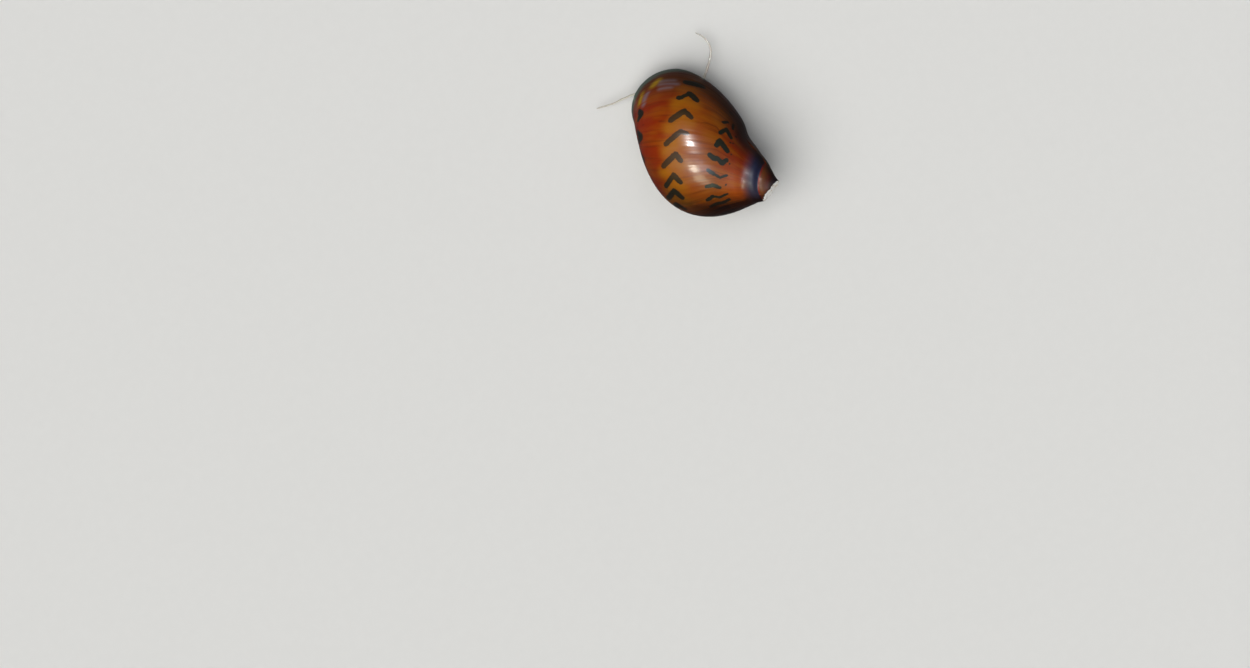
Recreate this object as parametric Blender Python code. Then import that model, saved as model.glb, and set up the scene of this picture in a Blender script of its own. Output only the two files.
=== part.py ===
"""A nerite snail, life size, crawling on a level floor with both tentacles out.

Metres, +Z up. The head points along -Y and the sole lies on Z = 0.
Sizes are written in millimetres and scaled by MM.

The shell is one whorl tube that winds up a leaning axis and shrinks towards the apex by the same
share at each turn. Its section is an egg that lies askew to the axis. The flat lip lies level,
and a flat deck closes the rear half of the underside.
"""
import math

import bmesh
import bpy
import numpy as np
from mathutils import Matrix, Vector

MM = 0.001

# General
GAP = 0.25                  # clearance between touching pieces
ORIGIN = (1.702, -1.395)    # what stands over the middle of the whole animal's box

# Shell: how it coils
LIP_HEIGHT = 2.6            # the lip plane above the floor
APEX = (-5.955, 9.27, 6.69)  # the point the coil shrinks to, from the lip plane
AXIS_AZIMUTH = 134.4        # degrees, where the axis points on the floor
AXIS_RISE = 26.0            # degrees, how much it climbs towards the apex
LIP_TURN = 7.6              # degrees, how far the last section lies above level
COIL_RATE = 0.1607          # growth of the tube, per radian
FADE = math.radians(90.0)   # stretch past the lip where the tube melts into the turn before it
OLD_TURNS = 3               # turns of the spire that are still told apart

# Shell: the section of its tube at the lip
SECTION_OUT = 2.867         # its middle, out from the axis
SECTION_DOWN = 12.005       # its middle, down the axis from the apex
SECTION_WIDE = 5.158        # half size across
SECTION_LONG = 9.840        # half size along
SECTION_TILT = 15.35        # degrees
SECTION_EGG = -0.299        # how much blunter one end is
SECTION_WAVES = ((2, -0.112, -0.037), (3, 0.0626, -0.0517))   # order, cosine and sine share

# Shell: the rest
CALLUS_MIDDLE = (2.2, -0.3, 1.6)     # swelling that fills the left end of the underside
CALLUS_HALF = (4.35, 6.9, 4.6)
CALLUS_BLEND = 0.12         # share of a section's size over which the swelling melts in
WALL = 1.1
LIP_WALL = 0.6
WALL_SLANT = 1.12           # a ray crosses the wall at a slant, so it is this much longer
WALL_RISE = 3.0             # the wall reaches its full thickness this far over the lip
DECK_THICK = 1.2
DECK_EDGE_ROUND = 0.35
DECK_BLOCK = (30.0, 12.0, 3.2)       # the block whose top is the deck, past the shell all round
WORN_TIP = (-5.05, 7.95, 6.5)        # the eroded face that ends the spire
WORN_AZIMUTH = 115.4
WORN_RISE = 12.0
HOLLOW_END = 5.2            # the hollow stops this far down the axis from the apex
HOLLOW_DROP = 1.5           # how far the hollow's cutter reaches below the lip
MANTLE_FLOOR = 4.3          # underside of the flesh in the shell, from the floor

# Foot
FOOT_MIDDLE = (0.7, -0.1)
FOOT_HALF_LONG = 6.7
FOOT_HALF_WIDE = 4.5
FOOT_TAPER = 0.13           # the front is wider than the tail by this share
FOOT_TOP = 1.4
FOOT_CUTS = (-3.2, 2.4)
FOOT_BLUNT = 0.86           # power that makes an oval a little squarer than an ellipse
FOOT_LAYERS = ((0.0, 0.35), (0.2, 0.08), (0.5, 0.0), (0.9, 0.22), (1.2, 0.7), (FOOT_TOP, 1.5))

# Trunk between foot and shell
TRUNK_MIDDLE = (0.0, -1.5)
TRUNK_LAYERS = ((FOOT_TOP + GAP, 4.4, 2.5), (2.3, 4.1, 2.35), (3.1, 4.1, 2.4),
                (MANTLE_FLOOR - GAP, 4.3, 2.6))
TRUNK_FRONT = -3.4

# Head: stations along -Y, each with middle height, half width and half height
HEAD_X = 0.3
HEAD_STATIONS = ((-3.7, 2.82, 1.8, 1.13), (-4.3, 2.86, 2.0, 1.19), (-5.2, 2.84, 2.05, 1.17),
                 (-6.0, 2.75, 2.0, 1.08), (-6.6, 2.6, 1.85, 0.9))
SNOUT_STATIONS = ((-6.85, 1.62, 1.95, 1.16), (-7.4, 1.5, 2.1, 1.1), (-8.0, 1.32, 2.15, 0.95),
                  (-8.5, 1.12, 1.95, 0.72), (-8.8, 1.0, 1.45, 0.42))

# Tentacles: points that each one passes, from the root out
TENTACLE_ROOT_R = 0.34
TENTACLE_TIP_R = 0.26
TENTACLE_STEPS = 34
END_RING = 0.6              # a round end's last ring, as a share of the radius, and its place
END_POLE = 0.85             # how far a round end reaches, as a share of the radius
TENTACLE_LENGTHS = ("base", "middle", "tip")
TENTACLE_RIGHT = ((-2.3, -5.5, 2.45), (-3.55, -6.65, 1.85), (-4.66, -7.81, 1.5),
                  (-5.37, -8.81, 1.3), (-5.54, -9.63, 1.2), (-5.34, -10.62, 1.1),
                  (-4.69, -11.6, 1.0))
TENTACLE_LEFT = ((2.75, -5.9, 2.45), (3.35, -7.2, 1.9), (4.12, -8.1, 1.6), (5.93, -8.3, 1.35),
                 (7.02, -8.3, 1.2), (9.09, -8.6, 1.0))

# Eyes on their stalks
EYE_RADIUS = 0.26
STALK_LENGTH = 0.55
STALK_RADII = (0.38, 0.31)
STALK_ROOTS = {"right": (-2.12, -4.7, 3.0), "left": (2.72, -4.7, 3.0)}
STALK_RISE = 18.0
STALK_TURN = 8.0            # degrees forward from straight out

# Operculum
OPERCULUM_MIDDLE = (1.9, 3.6)
OPERCULUM_HALF_LONG = 4.2
OPERCULUM_DEEP = 4.4
OPERCULUM_THICK = 0.5
OPERCULUM_BLUNT = 0.85
OPERCULUM_BEVEL = (0.15, 0.12)       # height and inset of its bevelled edges
OPERCULUM_BOTTOM = FOOT_TOP + GAP + 0.05

# Facets
DOME_COLUMNS = 72
DOME_ROWS = 32
HOLLOW_COLUMNS = 40
HOLLOW_ROWS = 12
OPERCULUM_SIDES = 28

COLOURS = {
    "shell": ((0.150, 0.022, 0.006), 0.12),
    "flesh": ((0.300, 0.270, 0.220), 0.35),
    "eye": ((0.008, 0.008, 0.009), 0.08),
    "operculum": ((0.055, 0.050, 0.045), 0.45),
}


# The coil, in millimetres from the lip plane

def heading(azimuth, rise):
    """A unit arrow, from its azimuth on the floor and its rise, in degrees."""
    way = math.radians(azimuth)
    tilt = math.radians(rise)
    return np.array((math.cos(tilt) * math.cos(way), math.cos(tilt) * math.sin(way),
                     math.sin(tilt)))


def axis_frame():
    """The axis towards the apex, and the two directions across it at the lip."""
    azimuth = math.radians(AXIS_AZIMUTH)
    turn = math.radians(LIP_TURN)
    along = heading(AXIS_AZIMUTH, AXIS_RISE)
    level = np.array((-math.sin(azimuth), math.cos(azimuth), 0.0))
    up = np.cross(along, level)
    first = math.cos(turn) * level + math.sin(turn) * up
    return along, first, np.cross(along, first)


def section_table(count=720):
    """The section's outline as polar angle and radius about its own middle."""
    angle = np.linspace(-math.pi, math.pi, count, endpoint=False)
    swell = 1.0 + sum(c * np.cos(n * angle) + s * np.sin(n * angle) for n, c, s in SECTION_WAVES)
    across = SECTION_WIDE * np.cos(angle) * (1.0 + SECTION_EGG * np.sin(angle)) * swell
    along = SECTION_LONG * np.sin(angle) * swell
    polar = np.unwrap(np.arctan2(along, across))
    return polar, np.hypot(across, along)


def section_measure(out, along, scale, table):
    """How far a point of the half plane lies from the section's middle: 1 is on its outline."""
    tilt = math.radians(SECTION_TILT)
    x = out / scale - SECTION_OUT
    y = along / scale + SECTION_DOWN
    across = math.cos(tilt) * x + math.sin(tilt) * y
    length = math.cos(tilt) * y - math.sin(tilt) * x
    edge = np.interp(np.arctan2(length, across), table[0], table[1], period=2.0 * math.pi)
    return np.hypot(across, length) / edge


def lip_scale(back):
    """Size of the youngest tube by the angle back from the lip, melting away past the lip."""
    share = np.clip((back - (2.0 * math.pi - FADE)) / FADE, 0.0, 1.0)
    share = share * share * (3.0 - 2.0 * share)
    size = np.exp(-COIL_RATE * back)
    return size + (1.0 - size) * share


def shell_measure(points, table):
    """Least measure over all the turns that pass a point, and the callus: under 1 is inside."""
    along, first, second = axis_frame()
    offset = points - np.array(APEX)
    height = offset @ along
    side = offset @ first
    rise = offset @ second
    out = np.hypot(side, rise)
    back = np.mod(np.arctan2(rise, side), 2.0 * math.pi)
    across = np.mod(back + math.pi, 2.0 * math.pi)
    least = np.full(out.shape, np.inf)
    for angle, reach in ((back, out), (across, -out)):
        least = np.minimum(least, section_measure(reach, height, lip_scale(angle), table))
        for turn in range(OLD_TURNS + 1):
            scale = np.exp(-COIL_RATE * (angle + 2.0 * math.pi * turn))
            least = np.minimum(least, section_measure(reach, height, scale, table))
    callus = np.linalg.norm((points - np.array(CALLUS_MIDDLE)) / np.array(CALLUS_HALF), axis=-1)
    close = np.clip(CALLUS_BLEND - np.abs(least - callus), 0.0, None) / CALLUS_BLEND
    return np.minimum(least, callus) - CALLUS_BLEND * close ** 2 / 4.0


def dome_rays(columns, rows):
    """Directions from the middle of the lip plane: rows run from the apex to the level of the
    lip, and columns go round the apex."""
    pole = np.array(APEX) / np.linalg.norm(APEX)
    level = np.array((-pole[1], pole[0], 0.0))
    level /= np.linalg.norm(level)
    up = np.cross(pole, level)
    turn = np.linspace(0.0, 2.0 * math.pi, columns, endpoint=False)
    sideways = np.outer(np.cos(turn), level) + np.outer(np.sin(turn), up)
    last = np.arctan2(pole[2], -sideways[:, 2])
    share = np.linspace(0.0, 1.0, rows) ** 1.25
    polar = last[:, None] * share[None, :]
    rays = np.sin(polar)[..., None] * sideways[:, None, :] + np.cos(polar)[..., None] * pole
    return rays


def outer_reach(rays, table, farthest=16.0, steps=64, halvings=20):
    """Length of each ray from the middle of the lip plane to the shell's outside, stepping in
    from far away and then halving."""
    lengths = np.linspace(farthest, 0.0, steps)
    inside = np.zeros(rays.shape[:-1], dtype=bool)
    low = np.zeros(rays.shape[:-1])
    high = np.full(rays.shape[:-1], farthest)
    for near, far in zip(lengths[1:], lengths[:-1]):
        here = shell_measure(rays * near, table) < 1.0
        fresh = here & ~inside
        low[fresh] = near
        high[fresh] = far
        inside |= here
    for _ in range(halvings):
        half = 0.5 * (low + high)
        here = shell_measure(rays * half[..., None], table) < 1.0
        low = np.where(here, half, low)
        high = np.where(here, high, half)
    return 0.5 * (low + high)


# Mesh helpers

def add_object(name, mesh, colour, root):
    """A named object under the root, with its own material."""
    item = bpy.data.objects.new(name, mesh)
    bpy.context.scene.collection.objects.link(item)
    item.parent = root
    material = bpy.data.materials.new(name)
    material.use_nodes = True
    shader = material.node_tree.nodes["Principled BSDF"]
    base, rough = COLOURS[colour]
    shader.inputs["Base Color"].default_value = (*base, 1.0)
    shader.inputs["Roughness"].default_value = rough
    shader.inputs["Metallic"].default_value = 0.0
    mesh.materials.append(material)
    return item


def ring_mesh(name, rings, smooth=40.0):
    """A closed skin over rings of points in millimetres. A ring of one point is a pole, and an
    open end ring gets a flat cap."""
    build = bmesh.new()
    rows = [[build.verts.new(Vector(point) * MM) for point in ring] for ring in rings]
    for row, following in zip(rows[:-1], rows[1:]):
        count = max(len(row), len(following))
        for i in range(count):
            j = (i + 1) % count
            if len(row) == 1:
                build.faces.new((row[0], following[i], following[j]))
            elif len(following) == 1:
                build.faces.new((row[j], row[i], following[0]))
            else:
                build.faces.new((row[i], following[i], following[j], row[j]))
    for row in (rows[0], rows[-1]):
        if len(row) > 1:
            build.faces.new(row)
    bmesh.ops.recalc_face_normals(build, faces=build.faces)
    mesh = bpy.data.meshes.new(name)
    build.to_mesh(mesh)
    build.free()
    mesh.shade_smooth()
    mesh.set_sharp_from_angle(angle=math.radians(smooth))
    return mesh


def keep_side(mesh, point, normal):
    """Cuts a closed mesh with a plane, drops what lies past it and caps the cut."""
    build = bmesh.new()
    build.from_mesh(mesh)
    cut = bmesh.ops.bisect_plane(
        build, geom=build.verts[:] + build.edges[:] + build.faces[:], dist=1e-7,
        plane_co=Vector(point) * MM, plane_no=Vector(normal), clear_outer=True)
    edges = [item for item in cut["geom_cut"] if isinstance(item, bmesh.types.BMEdge)]
    bmesh.ops.contextual_create(build, geom=edges)
    bmesh.ops.recalc_face_normals(build, faces=build.faces)
    build.to_mesh(mesh)
    build.free()
    mesh.set_sharp_from_angle(angle=math.radians(40.0))


def cut_with(item, cutter_mesh):
    """Takes a cutter out of an object with an exact boolean that stays live."""
    cutter = bpy.data.objects.new(item.name + "_cutter", cutter_mesh)
    bpy.context.scene.collection.objects.link(cutter)
    cutter.parent = item.parent
    cutter.hide_render = True
    cutter.display_type = "WIRE"
    modifier = item.modifiers.new("Cut", "BOOLEAN")
    modifier.operation = "DIFFERENCE"
    modifier.solver = "EXACT"
    modifier.object = cutter
    return cutter


def smooth_path(points, count):
    """Even steps along a curve that passes the points (Catmull-Rom, with its ends mirrored)."""
    knots = np.array(points)
    knots = np.vstack((2.0 * knots[0] - knots[1], knots, 2.0 * knots[-1] - knots[-2]))
    pieces = []
    for i in range(1, len(knots) - 2):
        t = np.linspace(0.0, 1.0, 24, endpoint=False)[:, None]
        a, b, c, d = knots[i - 1:i + 3]
        pieces.append(0.5 * (2.0 * b + (c - a) * t + (2.0 * a - 5.0 * b + 4.0 * c - d) * t ** 2
                             + (3.0 * b - a - 3.0 * c + d) * t ** 3))
    fine = np.vstack(pieces + [knots[-2][None, :]])
    run = np.concatenate(((0.0,), np.cumsum(np.linalg.norm(np.diff(fine, axis=0), axis=1))))
    even = np.linspace(0.0, run[-1], count)
    return np.stack([np.interp(even, run, fine[:, k]) for k in range(3)], axis=1)


def tube_rings(path, radii, sides=8, round_end=False):
    """Rings round a path, closed by flat caps or by a short round end."""
    tangent = np.gradient(path, axis=0)
    tangent /= np.linalg.norm(tangent, axis=1)[:, None]
    rings = []
    turn = np.linspace(0.0, 2.0 * math.pi, sides, endpoint=False)
    for point, way, radius in zip(path, tangent, radii):
        level = np.array((-way[1], way[0], 0.0))
        level /= np.linalg.norm(level)
        up = np.cross(way, level)
        rings.append(point + radius * (np.outer(np.cos(turn), level) + np.outer(np.sin(turn), up)))
    if round_end:
        end = radii[-1] * tangent[-1]
        rings.append(path[-1] + END_RING * (rings[-1] - path[-1]) + END_RING * end)
        rings.append([path[-1] + END_POLE * end])
    return rings


def oval_ring(middle, half_long, half_wide, height, azimuth=-90.0, taper=0.0, count=40):
    """A level egg outline whose blunt end points along the azimuth."""
    turn = np.linspace(0.0, 2.0 * math.pi, count, endpoint=False)
    along = half_long * np.sign(np.cos(turn)) * np.abs(np.cos(turn)) ** FOOT_BLUNT
    across = half_wide * np.sign(np.sin(turn)) * np.abs(np.sin(turn)) ** FOOT_BLUNT
    across = across * (1.0 + taper * np.cos(turn))
    way = math.radians(azimuth)
    x = middle[0] + along * math.cos(way) - across * math.sin(way)
    y = middle[1] + along * math.sin(way) + across * math.cos(way)
    return np.stack((x, y, np.full_like(x, height)), axis=1)


def station_rings(stations, middle_x, count=28, square=0.8):
    """Upright rings across the Y axis, rounded squares of the given half sizes."""
    turn = np.linspace(0.0, 2.0 * math.pi, count, endpoint=False)
    side = np.sign(np.cos(turn)) * np.abs(np.cos(turn)) ** square
    rise = np.sign(np.sin(turn)) * np.abs(np.sin(turn)) ** square
    rings = []
    for y, z, half_wide, half_high in stations:
        rings.append(np.stack((middle_x + half_wide * side, np.full_like(side, y),
                               z + half_high * rise), axis=1))
    return rings


# The pieces

def dome_rings(rays, reach):
    """Rows of the dome as rings, the first one its pole, lifted to the lip's height."""
    points = rays * reach[..., None] + np.array((0.0, 0.0, LIP_HEIGHT))
    rings = [[points[0, 0]]]
    for row in range(1, points.shape[1]):
        rings.append(points[:, row])
    return rings


def hollow_reach(rays, reach, gap):
    """The outside reach less the wall, which is thin at the lip, and stopped below the spire.
    Only rays that climb the axis can meet that stop."""
    along = axis_frame()[0]
    height = np.clip(rays[..., 2] * reach / WALL_RISE, 0.0, 1.0)
    wall = LIP_WALL + (WALL - LIP_WALL) * height
    inner = reach - WALL_SLANT * (wall + gap)
    stop = np.array(APEX) @ along - HOLLOW_END - gap
    least_climb = 0.05
    climb = rays @ along
    limit = np.where(climb > least_climb, stop / np.maximum(climb, least_climb), np.inf)
    return np.minimum(inner, limit)


def make_shell(root, table):
    """The shell with its deck: a dome, worn at the tip, less the hollow round the deck."""
    rays = dome_rays(DOME_COLUMNS, DOME_ROWS)
    mesh = ring_mesh("shell", dome_rings(rays, outer_reach(rays, table)))
    keep_side(mesh, (WORN_TIP[0], WORN_TIP[1], WORN_TIP[2] + LIP_HEIGHT),
              heading(WORN_AZIMUTH, WORN_RISE))
    shell = add_object("shell", mesh, "shell", root)

    rays = dome_rays(HOLLOW_COLUMNS, HOLLOW_ROWS)
    rings = dome_rings(rays, hollow_reach(rays, outer_reach(rays, table), 0.0))
    rings.append(rings[-1] - np.array((0.0, 0.0, HOLLOW_DROP)))
    hollow = cut_with(shell, ring_mesh("shell_hollow", rings))
    cut_with(hollow, deck_mesh())


def deck_mesh():
    """A block behind the coil's axis whose top is the deck and whose rounded edge faces the
    aperture."""
    way = math.radians(AXIS_AZIMUTH)
    build = bmesh.new()
    bmesh.ops.create_cube(build, size=1.0)
    bmesh.ops.scale(build, verts=build.verts, vec=DECK_BLOCK)
    bmesh.ops.translate(build, verts=build.verts,
                        vec=(0.0, -DECK_BLOCK[1] / 2.0, DECK_THICK - DECK_BLOCK[2] / 2.0))
    edge = [e for e in build.edges
            if all(abs(v.co.y) < 1e-6 and v.co.z > 0.0 for v in e.verts)]
    bmesh.ops.bevel(build, geom=edge, offset=DECK_EDGE_ROUND, segments=3, profile=0.5,
                    affect="EDGES")
    bmesh.ops.rotate(build, verts=build.verts, matrix=Matrix.Rotation(way, 3, "Z"))
    bmesh.ops.translate(build, verts=build.verts, vec=(APEX[0], APEX[1], LIP_HEIGHT))
    bmesh.ops.scale(build, verts=build.verts, vec=(MM, MM, MM))
    mesh = bpy.data.meshes.new("shell_deck")
    build.to_mesh(mesh)
    build.free()
    return mesh


def make_mantle(root, table):
    """The flesh that fills the shell, above the deck and the head."""
    rays = dome_rays(HOLLOW_COLUMNS, HOLLOW_ROWS)
    mesh = ring_mesh("mantle", dome_rings(rays, hollow_reach(rays, outer_reach(rays, table), GAP)))
    keep_side(mesh, (0.0, 0.0, MANTLE_FLOOR), (0.0, 0.0, -1.0))
    add_object("mantle", mesh, "flesh", root)


def make_foot(root):
    """The foot's three lengths, cut from one flat-soled slab with a rounded edge."""
    cuts = (-np.inf,) + FOOT_CUTS + (np.inf,)
    for name, low, high in zip(("foot_front", "foot_middle", "foot_tail"), cuts[:-1], cuts[1:]):
        rings = [oval_ring(FOOT_MIDDLE, FOOT_HALF_LONG - inset, FOOT_HALF_WIDE - inset, height,
                           taper=FOOT_TAPER)
                 for height, inset in FOOT_LAYERS]
        mesh = ring_mesh(name, rings)
        if low > -np.inf:
            keep_side(mesh, (0.0, low + GAP / 2.0, 0.0), (0.0, -1.0, 0.0))
        if high < np.inf:
            keep_side(mesh, (0.0, high - GAP / 2.0, 0.0), (0.0, 1.0, 0.0))
        add_object(name, mesh, "flesh", root)


def make_trunk(root):
    """The column from the foot up into the shell, level with the aperture's long way."""
    rings = [oval_ring(TRUNK_MIDDLE, long_half, wide_half, height, azimuth=AXIS_AZIMUTH, count=32)
             for height, long_half, wide_half in TRUNK_LAYERS]
    mesh = ring_mesh("trunk", rings)
    keep_side(mesh, (0.0, TRUNK_FRONT, 0.0), (0.0, -1.0, 0.0))
    add_object("trunk", mesh, "flesh", root)


def make_head(root):
    """The head over the front of the foot, and the broad snout before it."""
    add_object("head", ring_mesh("head", station_rings(HEAD_STATIONS, HEAD_X)), "flesh", root)
    mesh = ring_mesh("snout", station_rings(SNOUT_STATIONS, HEAD_X))
    add_object("snout", mesh, "flesh", root)


def make_tentacles(root):
    """Each tentacle in three lengths along one smooth curve."""
    for side, points in (("right", TENTACLE_RIGHT), ("left", TENTACLE_LEFT)):
        path = smooth_path(points, TENTACLE_STEPS)
        radii = np.linspace(TENTACLE_ROOT_R, TENTACLE_TIP_R, TENTACLE_STEPS)
        per_length = (TENTACLE_STEPS - 1) // len(TENTACLE_LENGTHS)
        for i, name in enumerate(TENTACLE_LENGTHS):
            first = i * per_length
            piece = path[first:first + per_length + 1].copy()
            size = radii[first:first + per_length + 1]
            last = i == len(TENTACLE_LENGTHS) - 1
            if not last:
                way = piece[-2] - piece[-1]
                piece[-1] += GAP * way / np.linalg.norm(way)
            rings = tube_rings(piece, size, round_end=last)
            node = "tentacle_" + side + "_" + name
            add_object(node, ring_mesh(node, rings), "flesh", root)


def make_eyes(root):
    """A short stalk out from each side of the head, with the eye at its tip."""
    for side, azimuth in (("right", 180.0 + STALK_TURN), ("left", -STALK_TURN)):
        way = heading(azimuth, STALK_RISE)
        start = np.array(STALK_ROOTS[side])
        path = np.array([start + way * STALK_LENGTH * k / 4.0 for k in range(5)])
        radii = np.linspace(STALK_RADII[0], STALK_RADII[1], 5)
        name = "eyestalk_" + side
        add_object(name, ring_mesh(name, tube_rings(path, radii, sides=12)), "flesh", root)
        eye = bpy.data.meshes.new("eye_" + side)
        build = bmesh.new()
        bmesh.ops.create_uvsphere(build, u_segments=12, v_segments=8, radius=EYE_RADIUS * MM)
        build.to_mesh(eye)
        build.free()
        eye.shade_smooth()
        item = add_object("eye_" + side, eye, "eye", root)
        item.location = Vector(path[-1] + way * (EYE_RADIUS + GAP / 2.0)) * MM


def make_operculum(root):
    """The shelly door carried on the tail: half an oval, its straight side to the aperture."""
    turn = np.linspace(0.0, math.pi, OPERCULUM_SIDES)
    along = OPERCULUM_HALF_LONG * np.cos(turn)
    deep = -OPERCULUM_DEEP * np.sin(turn) ** OPERCULUM_BLUNT
    way = math.radians(AXIS_AZIMUTH)
    edge, drawn_in = OPERCULUM_BEVEL
    rings = []
    for height, inset in ((0.0, drawn_in), (edge, 0.0), (OPERCULUM_THICK - edge, 0.0),
                          (OPERCULUM_THICK, drawn_in)):
        share = 1.0 - inset / OPERCULUM_HALF_LONG
        p = along * share
        q = (deep + OPERCULUM_DEEP / 2.0) * share
        x = OPERCULUM_MIDDLE[0] + p * math.cos(way) - q * math.sin(way)
        y = OPERCULUM_MIDDLE[1] + p * math.sin(way) + q * math.cos(way)
        rings.append(np.stack((x, y, np.full_like(x, OPERCULUM_BOTTOM + height)), axis=1))
    add_object("operculum", ring_mesh("operculum", rings), "operculum", root)


def main():
    for item in list(bpy.data.objects):
        bpy.data.objects.remove(item, do_unlink=True)
    root = bpy.data.objects.new("nerite_snail", None)
    bpy.context.scene.collection.objects.link(root)
    root.location = (-ORIGIN[0] * MM, -ORIGIN[1] * MM, 0.0)
    table = section_table()
    make_shell(root, table)
    make_mantle(root, table)
    make_foot(root)
    make_trunk(root)
    make_head(root)
    make_tentacles(root)
    make_eyes(root)
    make_operculum(root)


main()
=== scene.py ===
"""A life-size nerite snail in the photo's pose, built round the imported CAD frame.

The shell is one closed surface that follows a coil: every turn of the tube is the same egg-shaped
section, shrunk towards the apex. All the flesh is one skin. Shapes are worked out in millimetres
and placed in the frame in metres.
"""
import math

import bpy
import numpy as np
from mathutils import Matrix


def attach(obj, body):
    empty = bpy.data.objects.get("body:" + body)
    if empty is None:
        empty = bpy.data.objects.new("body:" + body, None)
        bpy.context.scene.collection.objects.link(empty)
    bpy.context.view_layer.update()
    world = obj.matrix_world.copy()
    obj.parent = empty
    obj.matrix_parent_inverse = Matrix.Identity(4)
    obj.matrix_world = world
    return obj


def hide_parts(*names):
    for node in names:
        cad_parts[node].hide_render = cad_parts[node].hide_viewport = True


bl_info = {
    "name": "Nerite snail",
    "version": (1, 0, 0),
    "blender": (4, 5, 0),
    "location": "View3D > Sidebar > Nerite",
    "description": "Builds a life-size nerite snail with a coiled, marked shell and one soft skin",
    "category": "Add Mesh",
}

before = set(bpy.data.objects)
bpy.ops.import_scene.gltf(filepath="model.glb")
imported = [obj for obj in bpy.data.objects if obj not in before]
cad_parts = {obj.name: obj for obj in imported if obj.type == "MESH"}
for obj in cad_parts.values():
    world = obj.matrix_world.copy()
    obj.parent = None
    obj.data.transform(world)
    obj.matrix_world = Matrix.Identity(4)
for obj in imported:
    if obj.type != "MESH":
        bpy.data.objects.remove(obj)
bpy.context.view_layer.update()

MM = 0.001
TURN = 2.0 * math.pi
# The frame's origin, in the millimetres that the shapes are worked out in
ORIGIN = np.array((1.702, -1.395, 0.0))
# Stand for a distance too great to matter: along a ray, and to a stroke or a suture
NEVER = 1e3
FAR = 9.0

# The shell's coil, in millimetres from the middle of the lip plane
LIP_HEIGHT = 2.6
APEX = np.array((-5.955, 9.27, 6.69))
AXIS_AZIMUTH = 134.4
AXIS_RISE = 26.0
LIP_TURN = 7.6
COIL_RATE = 0.1607
LIP_FADE = math.radians(90.0)
OLD_TURNS = 3
LIP_SIZE = 24.0
SUTURE_SIZE = 4.1

# The section of its tube at the lip
SECTION_OUT = 2.867
SECTION_DOWN = 12.005
SECTION_WIDE = 5.158
SECTION_LONG = 9.840
SECTION_TILT = math.radians(15.35)
SECTION_EGG = -0.299
SECTION_WAVES = ((2, -0.112, -0.037), (3, 0.0626, -0.0517))

# Low relief. The shoulder and the hollow outside it: height, place across the suture, half width
SHOULDER = (0.09, 1.35, 0.60)
SHOULDER_HOLLOW = (-0.11, 2.5, 0.85)
GROOVE_DEPTH = 0.20
GROOVE_WIDTHS = {"young side": 0.65, "old side": 0.25}
WAIST = np.array((-5.2, 1.9))
WAIST_REACH = 1.35
WAIST_DEPTH = 0.38
RIPPLE_HEIGHT = 0.012
RIPPLE_SIZES = (5.0, 14.0)
WHORL_RADIUS = 7.0
LINE_SLANT = math.radians(2.6)
LINE_BEND_SIZE = 11.0

# Callus, walls, rim, deck and worn tip
CALLUS_MIDDLE = np.array((2.2, -0.3, 1.6))
CALLUS_HALF = np.array((4.35, 6.9, 4.6))
CALLUS_BLEND = 0.12
WALL = 1.1
LIP_WALL = 0.6
WALL_SLANT = 1.12
LIP_CORNER = 0.16
RIM_HOLLOW = 0.22
RIM_WAVE = 0.05
RIM_WIDTHS = (1.2, 4.2)
DECK_THICK = 1.2
DECK_ROUND = 0.6
CORNER_ROUND = 0.35
APERTURE_ROUND = 0.8
SPIRE_ROUND = 0.5
DECK_TEETH = {"height": 0.12, "middle": 9.0, "half": 2.4, "pitch": 9.0}
WORN_TIP = np.array((-5.05, 7.95, 6.5))
WORN_AZIMUTH = 115.4
WORN_RISE = 12.0
WORN_ROUGHNESS = 0.10
WORN_EDGE = 0.22
WORN_BORDER = 0.25
HOLLOW_END = 5.2
INNER_MIDDLE = np.array((0.0, 0.0, 2.0))

# Painted shade: the flanks are painted darker, as if unlit, where their normals rise less than
# this. The pairs are a strength and what facing the flank or the rear adds to it.
FLANK_AZIMUTH = 125.0
REAR_AZIMUTH = 65.0
FLANK_RISE = (0.80, 0.12)
FLANK_FADE = 0.30
FLANK_SIDE = (0.62, 0.8)
FLANK_REAR = (0.92, 0.09)

# The flesh, in millimetres over the floor
FOOT_MIDDLE = (0.7, -0.1)
FOOT_HALF_LONG = 6.7
FOOT_HALF_WIDE = 4.5
FOOT_TAPER = 0.13
BLUNTNESS = 0.86
# Insets from the foot's outline and their heights, from the sole's middle to the back's
FOOT_PROFILE = (
    (4.4, 0.0), (3.0, 0.0), (1.6, 0.0), (0.55, 0.0), (0.28, 0.03), (0.12, 0.14), (0.08, 0.30),
    (0.14, 0.47), (0.34, 0.66), (0.70, 0.88), (1.2, 1.08), (1.9, 1.22), (2.8, 1.30), (4.0, 1.33),
    (4.4, 1.33),
)
FRILL = 0.05
FRILL_REACH = 0.9
TRUNK_MIDDLE = (0.0, -1.5)
# Half length, half width and height of the trunk's ovals
TRUNK_STATIONS = (
    (0.1, 0.1, 0.9), (4.4, 2.6, 0.9), (4.45, 2.65, 1.25), (4.3, 2.45, 1.65), (4.0, 2.25, 2.3),
    (3.98, 2.3, 3.1), (4.2, 2.5, 4.0), (4.2, 2.5, 4.9), (0.1, 0.1, 4.9),
)
PLEATS = 24
PLEAT_DEPTH = 0.012
MANTLE_GAP = 0.42
MANTLE_FLOOR = 0.25
MANTLE_ROUND = 0.4
HEAD_X = 0.3
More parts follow.
